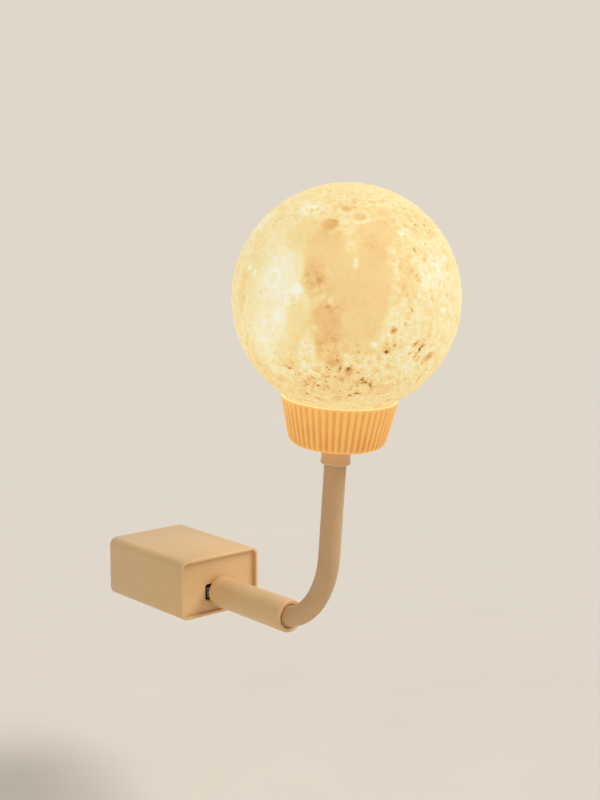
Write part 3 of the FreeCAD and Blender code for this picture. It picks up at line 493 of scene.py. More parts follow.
def dressed(bm, name, body, slot, node, place, crease=35):
    """A finished piece, with what it rides on, is made of and stands for."""
    piece = settled(bm, name, finish_of(slot), place, crease)
    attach(piece, body)
    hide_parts(node)


# ------------ moon relief
# Places on the globe are degrees round it from its outward side and degrees up from its middle.

# The basins and craters that the solid has: their place, their radius in millimetres and, for a
# crater, how dark its floor looks.
BASINS = (
    (-32, 28, 13.5), (-34, 5, 13.0), (-55, 25, 11.0), (-48, 2, 9.5), (-21, 44, 7.0),
    (-48, -23, 5.2), (-73, -23, 5.2), (-78, 40, 6.5), (-97, 21, 5.0),
    (118, 24, 14.0), (148, -6, 12.0), (96, -22, 7.5), (-150, 30, 11.0), (-138, -16, 9.5),
    (176, 50, 8.0), (64, 50, 6.0),
)
CRATERS = (
    (-19, -5.6, 2.2, 1.0), (-13, -2.8, 1.0, 0.6), (-21, -16, 2.4, 0.2), (8, -21, 3.0, 0.3),
    (-78, 52, 2.4, 0.1), (-48, 55, 2.6, 0.1), (-37, 51, 3.2, 0.1), (-82, 14, 3.2, 0.0),
    (-39, -28, 2.8, 0.1), (-59, -34, 3.2, 0.1), (20, 23, 3.0, 0.1), (60, -14, 3.6, 0.2),
    (84, 30, 3.2, 0.3), (152, 42, 3.4, 0.2), (-152, -30, 3.0, 0.3), (-112, 50, 2.6, 0.1),
    (-26, -44, 2.8, 0.1), (34, -44, 2.8, 0.2), (122, -8, 3.0, 0.3), (-108, -9, 3.4, 0.1),
    (180, 12, 3.0, 0.4),
)
BASIN_DEPTH = 0.3 * MM

# The solid's smaller craters: the angle between two, how many places there are for them, and how
# much of the globe these cover.
GOLDEN_ANGLE = 180 * (3 - math.sqrt(5))
GOLDEN_PLACES = 90
GOLDEN_COVER = 0.892857

# Tones: a place, its half widths across and up in degrees, then how strongly it is darker,
# brighter, rougher, smoother or more pitted.
PLAINS = (
    (-31, 18, 11, 24, 0.22), (-26, 41, 10, 9, 0.23), (-17, 54, 4, 2.6, 0.20),
    (-35, -3, 11, 10, 0.21), (-56, 31, 10, 12, 0.22), (-56, 45, 4.5, 4, 0.26),
    (-58, 16, 8, 8, 0.24), (-51, -3, 9, 12, 0.25), (-46, 25, 9, 9, 0.22),
    (-44, 12, 10, 12, 0.23), (-73, 38, 9, 8, 0.09), (-66, -6, 5, 13, 0.10),
    (-72, -21, 6.5, 8, 0.06), (-48, -20, 7.5, 6, 0.22), (-11, 19, 6, 11, 0.15),
    (-47, 57, 4.4, 1.6, 0.25), (-37, 51, 4.6, 2.4, 0.18), (-104, 4, 3, 10, 0.12),
    (9, -20, 3.4, 2.6, 0.22), (5.4, -22.4, 3, 2.6, 0.26), (-21, -15, 3.8, 3, 0.15),
    (-35, -15, 9, 4, 0.20), (-22, 46, 12, 3.5, 0.16), (-30, 54, 16, 5, 0.09),
    (12, 47, 16, 10, 0.06), (-24, -14, 9, 4, 0.10), (-12, 31, 5, 6, 0.09), (-38, -38, 15, 9, 0.10),
    (118, 22, 17, 14, 0.17), (148, -5, 12, 15, 0.16), (133, 8, 11, 9, 0.14),
    (96, -20, 8, 9, 0.11), (110, 0, 7, 13, 0.08), (-150, 30, 14, 10, 0.16),
    (-138, -16, 10, 11, 0.15), (-146, 6, 8, 14, 0.12), (177, 49, 12, 8, 0.12),
    (63, 49, 8, 7, 0.11), (30, -52, 9, 4, 0.12), (-43, -27, 5, 3, 0.12), (-17, -40, 7, 4, 0.12),
)
DEEPS = (
    (-54, 44, 5, 3.5, 0.12), (-60, 19, 5, 6, 0.08), (-51, -2, 6, 12, 0.08),
    (-72, -27, 6, 3, 0.13), (-48, -24, 6, 3, 0.05), (-11, 24, 4, 7, 0.03),
    (-16, 13, 3.5, 4, 0.10), (-24, 34, 8, 8, 0.03), (-51, 36, 6, 4, 0.03),
    (126, 28, 7, 5, 0.06), (150, -10, 6, 6, 0.06), (-155, 32, 5, 5, 0.05), (-138, -20, 5, 5, 0.06),
)
BRIGHTS = (
    (-73, 5, 8, 20, 0.20), (-79, 16, 9, 15, 0.23), (7, 19, 9, 8, 0.14), (-78, 53, 6, 3, 0.15),
    (-45, 47, 4, 5, 0.08), (-84, -13, 10, 16, 0.18), (-3, -26, 9, 4, 0.09), (-20, 0, 4, 4, 0.08),
    (-28, -12, 4, 3, 0.06), (70, 5, 12, 10, 0.16), (-120, 40, 8, 8, 0.14), (165, 20, 8, 6, 0.16),
    (110, -40, 10, 6, 0.12), (-87, 8, 6, 9, 0.15), (-87, 31, 7, 9, 0.11), (-80, -32, 7, 5, 0.11),
)
ROUGH = (
    (-61, 15, 6, 5, 1.5), (-49, 6, 4, 4, 1.2), (-11, 18, 6, 11, 1.0), (-43, -19, 24, 6, 0.9),
    (-42, -34, 36, 8, 0.9), (-14, -12, 14, 9, 0.6), (2, -20, 12, 8, 0.7), (5, 38, 16, 16, 0.7),
    (-30, 62, 30, 8, 0.4), (100, 5, 40, 30, 0.6), (-160, -20, 30, 20, 0.6),
)
SMOOTH = ((-80, 12, 19, 32, 0.7),)
PITTED = (
    (5, 40, 20, 14, 0.9), (0, 12, 12, 14, 0.4), (-2, -17, 12, 8, 0.7), (-42, -34, 34, 9, 0.9),
    (-18, -15, 12, 7, 0.7), (-45, -15, 16, 6, 0.5), (-20, 62, 30, 8, 0.5), (8, -38, 20, 10, 0.6),
    (100, 5, 40, 30, 0.5), (-160, -20, 30, 24, 0.5), (40, -34, 30, 10, 0.7),
)

# Bright points with rays: place, radius and reach in degrees. Dark pits: place, radius in degrees
# and darkness. Dark cracks: both ends, then the same.
RAYS = (
    (-66, 11, 2.3, 10), (-39, 27, 1.0, 4), (-39, 24.4, 1.4, 7), (-10, 41.4, 1.4, 4),
    (-76.6, -2.8, 1.5, 6), (-63, -14, 1.3, 5), (-64.4, -20, 1.0, 5), (-63.6, -26, 1.3, 6),
    (11.7, 3.2, 1.4, 4), (-102, 16.7, 1.3, 4), (-96, 15, 1.3, 5), (-28, -12.7, 1.4, 5),
    (-50, 7, 1.3, 4), (-41, -18.7, 1.3, 4), (20, 27, 1.8, 6), (-57, -6, 1.2, 5),
    (-77, 55, 1.2, 9), (84, 20, 2, 14), (150, -30, 2.4, 18), (-140, 8, 1.8, 10),
)
PITS = (
    (-8, -18, 0.6, 0.4), (-3.4, -21.4, 0.7, 0.4), (8.5, -10.5, 0.6, 0.35), (2, -9.5, 0.6, 0.3),
    (4.8, -14, 0.5, 0.3), (-20.8, -16.5, 0.9, 0.55), (-17.5, -13.2, 0.8, 0.45),
    (-23, -13.6, 0.6, 0.3), (-19.3, -14.6, 0.6, 0.3), (-13.2, -2.1, 0.8, 0.3),
    (-35, -16.5, 0.7, 0.35), (-36, -13, 0.6, 0.25), (-36.4, -37.6, 0.7, 0.4), (-33, -37, 0.7, 0.3),
    (-36, -45, 0.8, 0.4), (-21, -28, 0.7, 0.3), (0, -38, 0.6, 0.25), (-3.7, 32.8, 0.8, 0.5),
    (1.3, 27.6, 0.7, 0.4), (9.7, 15.8, 0.9, 0.4), (2.5, 8.7, 0.7, 0.4), (-3.4, 46, 0.8, 0.5),
    (6.7, 46, 0.7, 0.4), (5, 49, 0.7, 0.3), (23, 47.7, 0.7, 0.4), (16.7, 45.4, 0.8, 0.4),
    (27.7, 43.4, 0.7, 0.4), (7, 35, 0.7, 0.35), (-7.7, 39.5, 0.6, 0.35), (-13, 11, 0.7, 0.3),
    (-51.4, -35.4, 0.8, 0.4), (-88, 6.3, 0.8, 0.3), (-77, 53.4, 1.2, 0.35),
)
CRACKS = (
    (-3.7, -11.2, -6.5, -13.7, 0.8, 0.5), (-0.1, -13.8, -3.9, -19.9, 0.8, 0.55),
    (11.7, -28.4, 8.7, -30.8, 0.8, 0.4), (9.2, -32.8, 10.5, -37.2, 0.7, 0.3),
    (-37.5, -24.3, -39.8, -27.1, 0.8, 0.35), (-61, -33, -57.8, -35, 0.8, 0.3),
    (-60.5, -39.6, -56, -38, 0.8, 0.3), (-67, -47, -50, -53.6, 0.7, 0.22),
    (-74.7, -28.8, -71.6, -30.4, 0.8, 0.3), (-25.7, -34.7, -23, -39.8, 0.8, 0.35),
    (-32.6, -42.8, -29.9, -43.2, 0.8, 0.35), (-10.7, 4.9, -9.7, 3.3, 0.7, 0.4),
    (-25.2, 62.7, -19.8, 61.8, 0.7, 0.35), (-43, -25, -44.2, -29.2, 0.7, 0.3),
    (-31, -32.4, -28, -34.7, 0.8, 0.3), (-58, 47.6, -51, 46.6, 0.7, 0.07),
)


def toward(round_angle, up_angle):
    """A direction from the globe's middle."""
    turn = math.radians(round_angle)
    rise = math.radians(up_angle)
    return np.array((math.sin(turn) * math.cos(rise), -math.cos(turn) * math.cos(rise),
                     math.sin(rise)))


def apart(directions, centre):
    """The angle between each direction and one other, in degrees."""
    return np.degrees(np.arccos(np.clip(directions @ centre, -1, 1)))


def offsets(directions, round_angle, up_angle):
    """How far each direction lies across and up from a place, in degrees."""
    centre = toward(round_angle, up_angle)
    across = toward(round_angle + 90, 0)
    up = np.cross(across, centre)
    depth = directions @ centre
    return (np.degrees(np.arctan2(directions @ across, depth)),
            np.degrees(np.arctan2(directions @ up, np.hypot(depth, directions @ across))))


def patches(directions, places, ragged, soft):
    """The strongest of several soft-edged ovals at each direction."""
    mask = np.zeros(len(directions))
    for round_angle, up_angle, wide, tall, strength in places:
        across, up = offsets(directions, round_angle, up_angle)
        reach = np.hypot(across / wide, up / tall) + ragged
        mask = np.maximum(mask, strength * smooth_share(1 + soft, 1 - soft, reach))
    return mask


def fractal(directions, scale, octaves, seed, fade=0.85):
    """Smooth noise of several sizes at each direction."""
    shift = Vector((seed, 2 * seed, -seed))
    return np.array([noise.fractal(Vector(point) * scale + shift, fade, 2.1, octaves)
                     for point in directions])


def ridges(directions, scale, octaves, seed):
    """Sharp-crested noise with a middle of 0 and a spread of 1, for rough highlands."""
    shift = Vector((seed, -seed, 2 * seed))
    crest = np.array([noise.ridged_multi_fractal(Vector(point) * scale + shift, 0.9, 2.1, octaves,
                                                 1.0, 2.0) for point in directions])
    return np.clip((crest - crest.mean()) / crest.std(), -2, 2)


def golden_craters(globe):
    """The solid's smaller craters: spread by the golden angle, off what is cut already."""
    taken = [(toward(turn, rise), radius * MM) for turn, rise, radius, *_ in BASINS + CRATERS]
    for number in range(GOLDEN_PLACES):
        height = 1 - (2 * number + 1) * GOLDEN_COVER / GOLDEN_PLACES
        direction = toward(number * GOLDEN_ANGLE, math.degrees(math.asin(height)))
        radius = (1.2 + 0.35 * (number % 5)) * MM
        if all(math.acos(min(1, direction @ other)) * globe > radius + wide + 0.8 * MM
               for other, wide in taken):
            yield direction, radius, 0.05 * (number % 4)


def fine_craters(count):
    """Seeded craters that are too small for the solid."""
    draw = random.Random(11)
    for _ in range(count):
        height = draw.uniform(-0.94, 1)
        direction = toward(draw.uniform(-180, 180), math.degrees(math.asin(height)))
        yield direction, draw.uniform(0.45, 1.25) * MM, 0.25 * draw.random()


def moon_relief(directions, globe, count):
    """Depth below the full radius, glow, roughness and pitting at each direction."""
    broad = fractal(directions, 2.4, 5, 3.0)
    ragged = fractal(directions, 7.0, 7, 9.0, 0.6)
    crest = ridges(directions, 12.0, 6, 5.0)
    plain = patches(directions, PLAINS, 0.26 * ragged, 0.22)
    deep = patches(directions, DEEPS, 0.30 * ragged, 0.8)
    bright = patches(directions, BRIGHTS, 0.25 * broad + 0.2 * ragged, 0.7)
    pitted = patches(directions, PITTED, 0.4 * broad, 0.4)
    rough = patches(directions, ROUGH, 0.3 * ragged, 0.5)
    land = 1 - np.clip(plain / 0.2, 0, 1)
    smooth = patches(directions, SMOOTH, 0.3 * broad, 0.5)
    grain = np.clip(0.2 + 0.8 * land + 0.6 * rough, 0, 1.6) * (1 - smooth)
    up = np.degrees(np.arcsin(np.clip(directions[:, 2], -1, 1)))
    light = 0.675 + 0.035 * broad + 0.02 * ragged + 0.06 * grain * crest
    # The glow is darker towards the bottom, and painted darker at the top as shade against the key lamp's light
    # from above.
    light -= 0.13 * smooth_share(-14, -46, up) + 0.05 * smooth_share(30, 65, up)
    light += bright * land - plain - deep
    depth = (0.15 - 0.05 * grain * crest) * MM
    sunk = np.zeros(len(directions))
    for round_angle, up_angle, radius in BASINS:
        share = apart(directions, toward(round_angle, up_angle)) * math.pi / 180 * globe / MM
        sunk = np.maximum(sunk, smooth_share(radius + 0.6, radius - 0.6, share + 0.5 * ragged))
    depth += BASIN_DEPTH * sunk
    solid_ones = [(toward(turn, rise), radius * MM, dark) for turn, rise, radius, dark in CRATERS]
    solid_ones += golden_craters(globe)
    for number, (centre, radius, dark) in enumerate([*solid_ones, *fine_craters(count)]):
        fine = number >= len(solid_ones)
        near = np.nonzero(directions @ centre > math.cos(2.2 * radius / globe))[0]
        if not len(near):
            continue
        share = np.radians(apart(directions[near], centre)) * globe / radius
        middle = near[np.argmin(share)]
        if fine and land[middle] < 0.5:
            continue
        bowl = np.clip(1 - share ** 2, 0, 1)
        rim = np.exp(-((share - 1.08) / 0.2) ** 2)
        full = 0.16 * radius if fine else min(0.2 * radius, 0.6 * MM)
        depth[near] += full * bowl - min(0.25 * full, 0.1 * MM) * rim
        light[near] += (0.05 + 0.02 * radius / MM) * rim - (
            0.03 + 0.34 * dark) * smooth_share(0, 0.55, bowl)
    for round_angle, up_angle, radius, dark in PITS:
        light -= dark * np.exp(-(apart(directions, toward(round_angle, up_angle)) / radius) ** 2)
    for round_angle, up_angle, far_round, far_up, radius, dark in CRACKS:
        across, up = offsets(directions, round_angle, up_angle)
        (run,), (rise,) = offsets(toward(far_round, far_up)[None], round_angle, up_angle)
        along = np.clip((across * run + up * rise) / (run ** 2 + rise ** 2), 0, 1)
        distance = np.hypot(across - along * run, up - along * rise)
        light -= dark * (1 + 0.6 * ragged) * np.exp(-(distance / radius) ** 2)
    for round_angle, up_angle, radius, reach in RAYS:
        across, up = offsets(directions, round_angle, up_angle)
        distance = np.hypot(across, up)
        turn = np.arctan2(up, across)
        streak = 0.5 + 0.5 * np.cos(turn * 5 + 3 * np.sin(turn * 3 + round_angle))
        light += 0.36 * np.exp(-(distance / radius) ** 2)
        light += 0.12 * streak ** 4 * np.exp(-distance / reach * 1.6) * (distance < 4 * reach)
    return np.maximum(depth, 0.02 * MM), np.clip(light, 0.0, 1.0), grain, pitted


class MOONLAMP_OT_shade(Operator):
    """Build the hollow, cratered moon shade"""
    bl_idname = "moonlamp.shade"
    bl_label = "Moon Shade"

    def execute(self, context):
        settings = context.scene.moon_shade
        low, high = extent("moon_shade", HEAD)
        radius = (high.x - low.x) / 2
        middle = (GLOBE - HINGES[-1]).length
        edge = middle - low.z
        opening = math.sqrt(radius ** 2 - edge ** 2)
        bm = bmesh.new()
        bmesh.ops.create_cube(bm, size=2.0)
        bmesh.ops.subdivide_edges(bm, edges=bm.edges[:], cuts=settings.cells - 1,
                                  use_grid_fill=True)
        for vert in bm.verts:
            vert.co = Vector([math.tan(value * math.pi / 4) for value in vert.co]).normalized()
        bmesh.ops.bisect_plane(bm, geom=bm.verts[:] + bm.edges[:] + bm.faces[:], dist=1e-7,
                               plane_co=(0, 0, -edge / radius), plane_no=(0, 0, -1),
                               clear_outer=True)
        bm.verts.ensure_lookup_table()
        directions = np.array([vert.co for vert in bm.verts])
        depth, light, grain, pitted = moon_relief(directions, radius, settings.craters)
        depth *= smooth_share(0, 0.03, directions[:, 2] + edge / radius)
        layers = [bm.verts.layers.float.new(name) for name in ("light", "rough", "pitted")]
        for vert, down, *values in zip(bm.verts, depth, light, grain, pitted):
            vert.co *= radius - down
            for layer, value in zip(layers, values):
                vert[layer] = value
        inner = radius - settings.wall
        start = math.asin(opening / inner)
        rings = 24
        loop = [item for item in bm.edges if item.is_boundary]
        for step in range(rings + 1):
            made = bmesh.ops.extrude_edge_only(bm, edges=loop)["geom"]
            loop = [item for item in made if isinstance(item, bmesh.types.BMEdge)]
            verts = [item for item in made if isinstance(item, bmesh.types.BMVert)]
            turn = start + (math.pi - start) * step / rings
            for vert in verts:
                flat = Vector((vert.co.x, vert.co.y, 0)).normalized() * inner * math.sin(turn)
                vert.co = flat - Vector((0, 0, inner * math.cos(turn)))
                if step == rings:
                    vert.co = (0, 0, inner)
                for layer, value in zip(layers, (0.6, 0.2, 0.0)):
                    vert[layer] = value
        top = [vert for vert in bm.verts if vert.co.z > inner - TINY and vert.co.xy.length < TINY]
        bmesh.ops.remove_doubles(bm, verts=top, dist=TINY)
        bmesh.ops.recalc_face_normals(bm, faces=bm.faces[:])
        dressed(bm, "moon_globe", "head", "moon_plastic", "moon_shade",
                HEAD @ Matrix.Translation((0, 0, middle)), crease=60)
        return {"FINISHED"}


class MOONLAMP_OT_cup(Operator):
    """Build the fluted cup that holds the globe"""
    bl_idname = "moonlamp.cup"
    bl_label = "Fluted Cup"

    def execute(self, context):
        settings = context.scene.moon_cup
        low, high = extent("base_cup", HEAD)
        tall = high.z - low.z
        slope = math.tan(settings.taper)
        rim = high.x
        foot = rim - tall * slope
        floor = 2.0 * MM
        mouth = rim - settings.wall
        inside = mouth - (tall - floor) * slope
        rows = 22
        side = [(foot + tall * share * slope, tall * share, 0)
                for share in ((row + 0.5) / rows for row in range(6, rows))]
        corners = [(NIPPLE_HOLE, 0, 0), (foot, 0, settings.rounding), *side,
                   (rim - settings.lip * slope, tall - settings.lip, 0),
                   (rim, tall, 0.45 * MM), (mouth, tall, 0.45 * MM),
                   (inside, floor, settings.rounding - settings.wall), (NIPPLE_HOLE, floor, 0)]
        steps_a_flute = 12
        bm = turned(corners, steps_a_flute * settings.flutes, segments=7)
        rise_layer = bm.verts.layers.float.new("rise")
        groove_shade_layer = bm.verts.layers.float.new("groove")
        for vert in bm.verts:
            radius, z = vert.co.xy.length, vert.co.z
            share = z / tall
            groove = 0.5 + 0.5 * math.cos(math.atan2(vert.co.y, vert.co.x) * settings.flutes)
            fade = float(smooth_share(0.1 * settings.rounding, 0.7 * settings.rounding, z))
            fade *= 1 - float(smooth_share(tall - 1.8 * settings.lip, tall - settings.lip, z))
            if share > 0.02 and radius > foot + z * slope - 0.9 * settings.wall:
                vert.co.xy *= 1 - settings.depth * groove * fade / radius
                # The groove profile is also stored for the painted shade in the grooves.
                vert[groove_shade_layer] = groove * fade
            lip = float(smooth_share(tall - 0.8 * settings.lip, tall - 0.2 * settings.lip, z))
            vert[rise_layer] = min(1.0, 0.40 + 0.24 * share + 0.36 * lip)
        dressed(bm, "fluted_cup", "head", "cup_plastic", "base_cup",
                HEAD @ Matrix.Translation((0, 0, low.z)), crease=40)
        return {"FINISHED"}


class MOONLAMP_OT_collar(Operator):
    """Build the collar between the neck and the cup"""
    bl_idname = "moonlamp.collar"
    bl_label = "Collar"

    def execute(self, context):
        low, high = extent("neck_collar", HEAD)
        outside = high.x
        bore = extent("neck_tip", HEAD)[1].x + 0.1 * MM
        seat = high.z - 0.5 * MM
        waist = outside - 0.22 * MM
        corners = [(bore, low.z, 0.2 * MM), (outside, low.z, 0.5 * MM),
                   (outside, low.z + 1.3 * MM, 0.12 * MM), (waist, low.z + 1.5 * MM, 0.05 * MM),
                   (waist, high.z - 0.5 * MM, 0.1 * MM), (outside, high.z - 0.3 * MM, 0.1 * MM),
                   (outside, high.z, 0), (NIPPLE_HOLE, high.z, 0), (NIPPLE_HOLE, seat, 0),
                   (bore, seat, 0)]
        dressed(turned(corners, steps=96), "neck_collar_cap", "head", "collar_plastic",
                "neck_collar", HEAD)
        return {"FINISHED"}


class MOONLAMP_OT_neck(Operator):
    """Build the bendable sleeve, one stretch across each hinge"""
    bl_idname = "moonlamp.neck"
    bl_label = "Neck Sleeve"

    def execute(self, context):
        settings = context.scene.moon_neck
        radius = extent("neck_tip", HEAD)[1].x
        inner = radius - settings.wall
        middles = [(hinge + following) / 2 for hinge, following in zip(HINGES, HINGES[1:])]
        first = HINGES[0] - OUT * (middles[0] - HINGES[0]).length
        last = HINGES[-1] + HEAD.to_3x3().col[2] * (HINGES[-1] - middles[-1]).length
        knots = [first, *middles, last]
        rings = 14
        links = [["neck_link_%02d" % number] for number in range(1, len(HINGES))]
        stood_for = [["neck_foot", "neck_wires"], *links]
        stood_for[-1].append("neck_tip")
        for number, hinge in enumerate(HINGES):
            start, end = knots[number], knots[number + 1]
            into_barrel = 8 * MM if hinge == HINGES[0] else 0.0
            into_collar = 3 * MM if hinge == HINGES[-1] else 0.0
            # Heights 0 to 1 follow the curve; one outside them ends the straight piece beyond it.
            heights = [float(smooth_share(0, 1, ring / rings)) for ring in range(rings + 1)]
            if into_barrel:
                heights.insert(0, -0.5)
            if into_collar:
                heights.append(1.5)
            corners = [(inner, heights[0], 0), *[(radius, height, 0) for height in heights],
                       *[(inner, height, 0) for height in heights[:0:-1]]]
            bm = turned(corners, steps=56)
            for vert in bm.verts:
                share = min(1.0, max(0.0, vert.co.z))
                point = (start * (1 - share) ** 2 + hinge * 2 * share * (1 - share)
                         + end * share ** 2)
                along = ((hinge - start) * (1 - share) + (end - hinge) * share).normalized()
                if vert.co.z < 0:
                    point = point - along * into_barrel
                elif vert.co.z > 1:
                    point = point + along * into_collar
                vert.co = point + X_AXIS * vert.co.x + along.cross(X_AXIS) * vert.co.y
            piece = settled(bm, "neck_sleeve_%02d" % (number + 1), finish_of("neck_silicone"))
            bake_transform(piece)
            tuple(start)
            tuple(end)
            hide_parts(*stood_for[number])
        return {"FINISHED"}


class MOONLAMP_OT_barrel(Operator):
    """Build the round plug barrel"""
    bl_idname = "moonlamp.barrel"
    bl_label = "Plug Barrel"

    def execute(self, context):
        low, high = extent("plug_barrel", PLUG)
        mouth = high.x
        near = mouth - 0.25 * MM
        bore = 5.9 * MM
        floor = low.z + 2 * MM
        corners = [(0, low.z, 0), (near, low.z, 3.2 * MM), (mouth, high.z, 0.55 * MM),
                   (bore, high.z, 0.4 * MM), (bore, floor, 0), (0, floor, 0)]
        dressed(turned(corners, steps=128, segments=8), "plug_barrel_shell", "plug",
                "barrel_plastic", "plug_barrel", PLUG)
        return {"FINISHED"}


class MOONLAMP_OT_adapter(Operator):
    """Build the adapter's housing and its recessed front plate"""
    bl_idname = "moonlamp.adapter"
    bl_label = "Mains Adapter"

    def execute(self, context):
        settings = context.scene.moon_housing
        high = extent("adapter_housing", ADAPTER)[1]
        bm = bmesh.new()
        rounded_outline(bm, rectangle(high.x, high.y, 0, settings.corner), segments=8)
        middle = bm.faces[:]
        rim = bmesh.ops.inset_region(bm, faces=middle, thickness=settings.rim, depth=0,
                                     use_even_offset=True, use_boundary=True)["faces"]
        bmesh.ops.delete(bm, geom=middle, context="FACES_ONLY")
        thickened(bm, rim, high.z)
        inner_x, inner_y = high.x - settings.rim, high.y - settings.rim

        def on_outside(edge, z):
            return all(abs(vert.co.z - z) < TINY and (
                abs(vert.co.x) > inner_x + TINY or abs(vert.co.y) > inner_y + TINY)
                for vert in edge.verts)

        softened(bm, lambda edge: on_outside(edge, high.z), 0.6 * MM)
        softened(bm, lambda edge: on_outside(edge, 0), 0.3 * MM, segments=2)
        dressed(bm, "adapter_case", "adapter", "housing_plastic", "adapter_housing", ADAPTER)
        self.front_plate(settings)
        return {"FINISHED"}

    def front_plate(self, settings):
        """The plate behind the rim, with the port's rounded window."""
        low, high = extent("adapter_front_plate", ADAPTER)
        port = extent("port_shell", ADAPTER)
        middle_y = (port[0].y + port[1].y) / 2
        half_x, half_y = 7.8 * MM, 4.1 * MM
        corner = settings.corner - settings.rim
        bm = bmesh.new()
        rounded_outline(bm, rectangle(high.x, high.y, low.z, corner), segments=8)
        rounded_outline(bm, [(x, y + middle_y, z, rounding) for x, y, z, rounding in
                             rectangle(half_x, half_y, low.z, 1.2 * MM)], segments=8)
        bmesh.ops.delete(bm, geom=bm.faces[:], context="FACES_ONLY")
        ring = bmesh.ops.bridge_loops(bm, edges=bm.edges[:])["faces"]
        thickened(bm, ring, high.z - low.z)
        softened(bm, lambda edge: all(
            abs(vert.co.z - high.z) < TINY and abs(vert.co.x) < half_x + 0.1 * MM
            and abs(vert.co.y - middle_y) < half_y + 0.1 * MM for vert in edge.verts), 0.3 * MM)
        dressed(bm, "front_plate", "adapter", "housing_plastic", "adapter_front_plate", ADAPTER)


class MOONLAMP_OT_fittings(Operator):
    """Give every solid that shows as it is the finish of its slot"""
    bl_idname = "moonlamp.fittings"
    bl_label = "Fittings"

    def execute(self, context):
        for part in frame["record"]["subparts"]:
            node = frame["nodes"][part["node"]]
            finish = finish_of(part["material_slot"])
            if not node.material_slots:
                node.data.materials.append(finish)
            for slot in node.material_slots:
                slot.material = finish
        return {"FINISHED"}


def seen_rays(tree):
    """1 for rays that show the background: from the camera, in reflections and through glass."""
    path = tree.nodes.new("ShaderNodeLightPath")
    total = path.outputs["Is Camera Ray"]
    for name in ("Is Glossy Ray", "Is Transmission Ray"):
        either = tree.nodes.new("ShaderNodeMath")
        either.operation = "MAXIMUM"
        tree.links.new(total, either.inputs[0])
        tree.links.new(path.outputs[name], either.inputs[1])
        total = either.outputs[0]
    return total


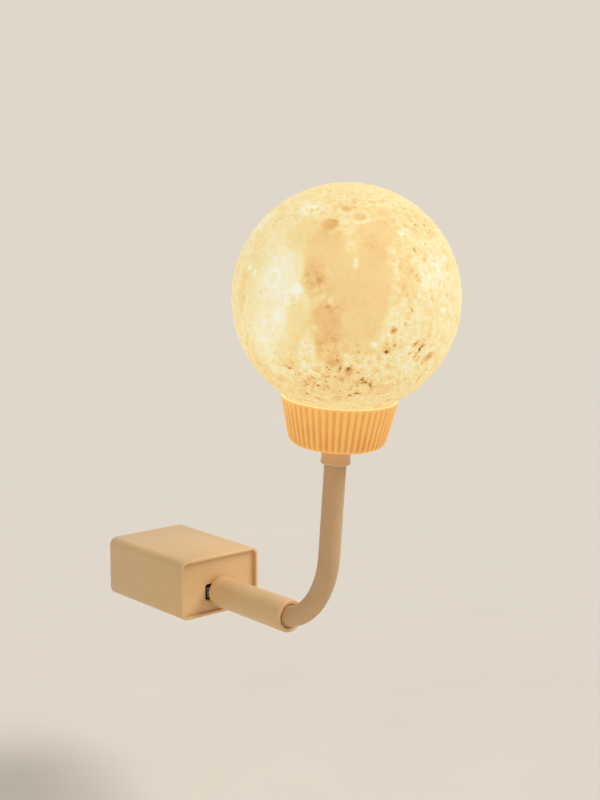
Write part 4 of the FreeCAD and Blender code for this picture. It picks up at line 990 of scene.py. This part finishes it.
class MOONLAMP_OT_stage(Operator):
    """Build the floor, the lamps and the camera"""
    bl_idname = "moonlamp.stage"
    bl_label = "Stage"

    def execute(self, context):
        scene = context.scene
        settings = scene.moon_stage
        self.floor(settings)
        self.world(scene, settings)
        for name, strength, angle, direction in (
                ("key", settings.key, 35, (-0.5, 0.45, -0.75)),
                ("side", 0.2 * settings.key, 60, (0.8, 0.3, -0.3))):
            lamp = bpy.data.lights.new(name + "_lamp", "SUN")
            lamp.energy = strength
            lamp.angle = math.radians(angle)
            lamp.color = (1.0, 0.97, 0.93)
            holder = bpy.data.objects.new(name + "_lamp", lamp)
            holder.rotation_mode = "QUATERNION"
            holder.rotation_quaternion = Vector(direction).to_track_quat("-Z", "Y")
            scene.collection.objects.link(holder)
        self.camera(scene)
        scene.view_settings.view_transform = "Standard"
        return {"FINISHED"}

    def floor(self, settings):
        """A wide floor that passes into the background far from the lamp."""
        bm = bmesh.new()
        bmesh.ops.create_grid(bm, x_segments=8, y_segments=8, size=40.0,
                              matrix=Matrix.Translation((0, 0, -settings.drop)))
        made = Finish(Roughness=0.85, Specular_IOR_Level=0.1)
        made.material.name = "stage_floor_finish"
        made.surface(Base_Color=made.ramp(made.noise(14, 4, 0.5), (
            (0.3, shade_of(settings.floor, 0.99)), (0.7, shade_of(settings.floor, 1.01)))))
        reach = made.add("VectorMath", {0: made.place}, operation="LENGTH").outputs["Value"]
        far = made.math("MULTIPLY", made.spread(reach, 0.8, 3.0, 0, 1), seen_rays(made.tree))
        plain = made.add("Emission", {"Color": (*settings.background, 1.0)})
        mixed = made.add("MixShader", {0: far, 1: made.shader.outputs[0], 2: plain.outputs[0]})
        made.tree.links.new(mixed.outputs[0],
                            made.tree.nodes["Material Output"].inputs["Surface"])
        settled(bm, "stage_floor", made.material)

    def world(self, scene, settings):
        """Even light all round, and the plain background for rays that show it."""
        world = bpy.data.worlds.new("plain_room")
        world.use_nodes = True
        tree = world.node_tree
        mix = tree.nodes.new("ShaderNodeMixShader")
        tree.links.new(seen_rays(tree), mix.inputs[0])
        for light, colour, strength, socket in (
                (tree.nodes["Background"], (1.0, 0.98, 0.95), settings.fill, 1),
                (tree.nodes.new("ShaderNodeBackground"), settings.background, 1.0, 2)):
            light.inputs["Color"].default_value = (*colour, 1.0)
            light.inputs["Strength"].default_value = strength
            tree.links.new(light.outputs[0], mix.inputs[socket])
        tree.links.new(mix.outputs[0], tree.nodes["World Output"].inputs["Surface"])
        scene.world = world

    def camera(self, scene):
        """The photograph's place: turned 40.5 degrees from the wall's normal and tipped 9 down."""
        turn, dip, roll = (math.radians(angle) for angle in (40.47, 9.145, 0.11))
        forward = Vector((math.sin(turn) * math.cos(dip), math.cos(turn) * math.cos(dip),
                          -math.sin(dip)))
        data = bpy.data.cameras.new("camera")
        data.lens = 65.2
        data.sensor_width = 36.0
        camera = bpy.data.objects.new("camera", data)
        camera.location = (-0.42307, -0.61956, 0.20505)
        look = forward.to_track_quat("-Z", "Y").to_matrix() @ Matrix.Rotation(roll, 3, "Z")
        camera.rotation_mode = "QUATERNION"
        camera.rotation_quaternion = look.to_quaternion()
        scene.collection.objects.link(camera)
        scene.camera = camera


STEPS = (MOONLAMP_OT_fittings, MOONLAMP_OT_adapter, MOONLAMP_OT_barrel, MOONLAMP_OT_neck,
         MOONLAMP_OT_collar, MOONLAMP_OT_cup, MOONLAMP_OT_shade, MOONLAMP_OT_stage)
SETTINGS = (("moon_shade", ShadeSettings), ("moon_cup", CupSettings), ("moon_neck", NeckSettings),
            ("moon_housing", HousingSettings), ("moon_stage", StageSettings))


class MOONLAMP_PT_panel(Panel):
    """Lists the pieces and their settings in the sidebar"""
    bl_idname = "MOONLAMP_PT_panel"
    bl_label = "Moon Light"
    bl_space_type = "VIEW_3D"
    bl_region_type = "UI"
    bl_category = "Moon Light"

    def draw(self, context):
        layout = self.layout
        for name, kind in SETTINGS:
            box = layout.box()
            for key in kind.__annotations__:
                box.prop(getattr(context.scene, name), key)
        for step in STEPS:
            layout.operator(step.bl_idname)


def register():
    for name, kind in SETTINGS:
        bpy.utils.register_class(kind)
        setattr(bpy.types.Scene, name, PointerProperty(type=kind))
    for kind in (*STEPS, MOONLAMP_PT_panel):
        bpy.utils.register_class(kind)


def unregister():
    for kind in (MOONLAMP_PT_panel, *reversed(STEPS)):
        bpy.utils.unregister_class(kind)
    for name, kind in reversed(SETTINGS):
        delattr(bpy.types.Scene, name)
        bpy.utils.unregister_class(kind)


def main():
    register()
    for step in STEPS:
        group, name = step.bl_idname.split(".")
        getattr(getattr(bpy.ops, group), name)()


if __name__ == "__main__":
    main()
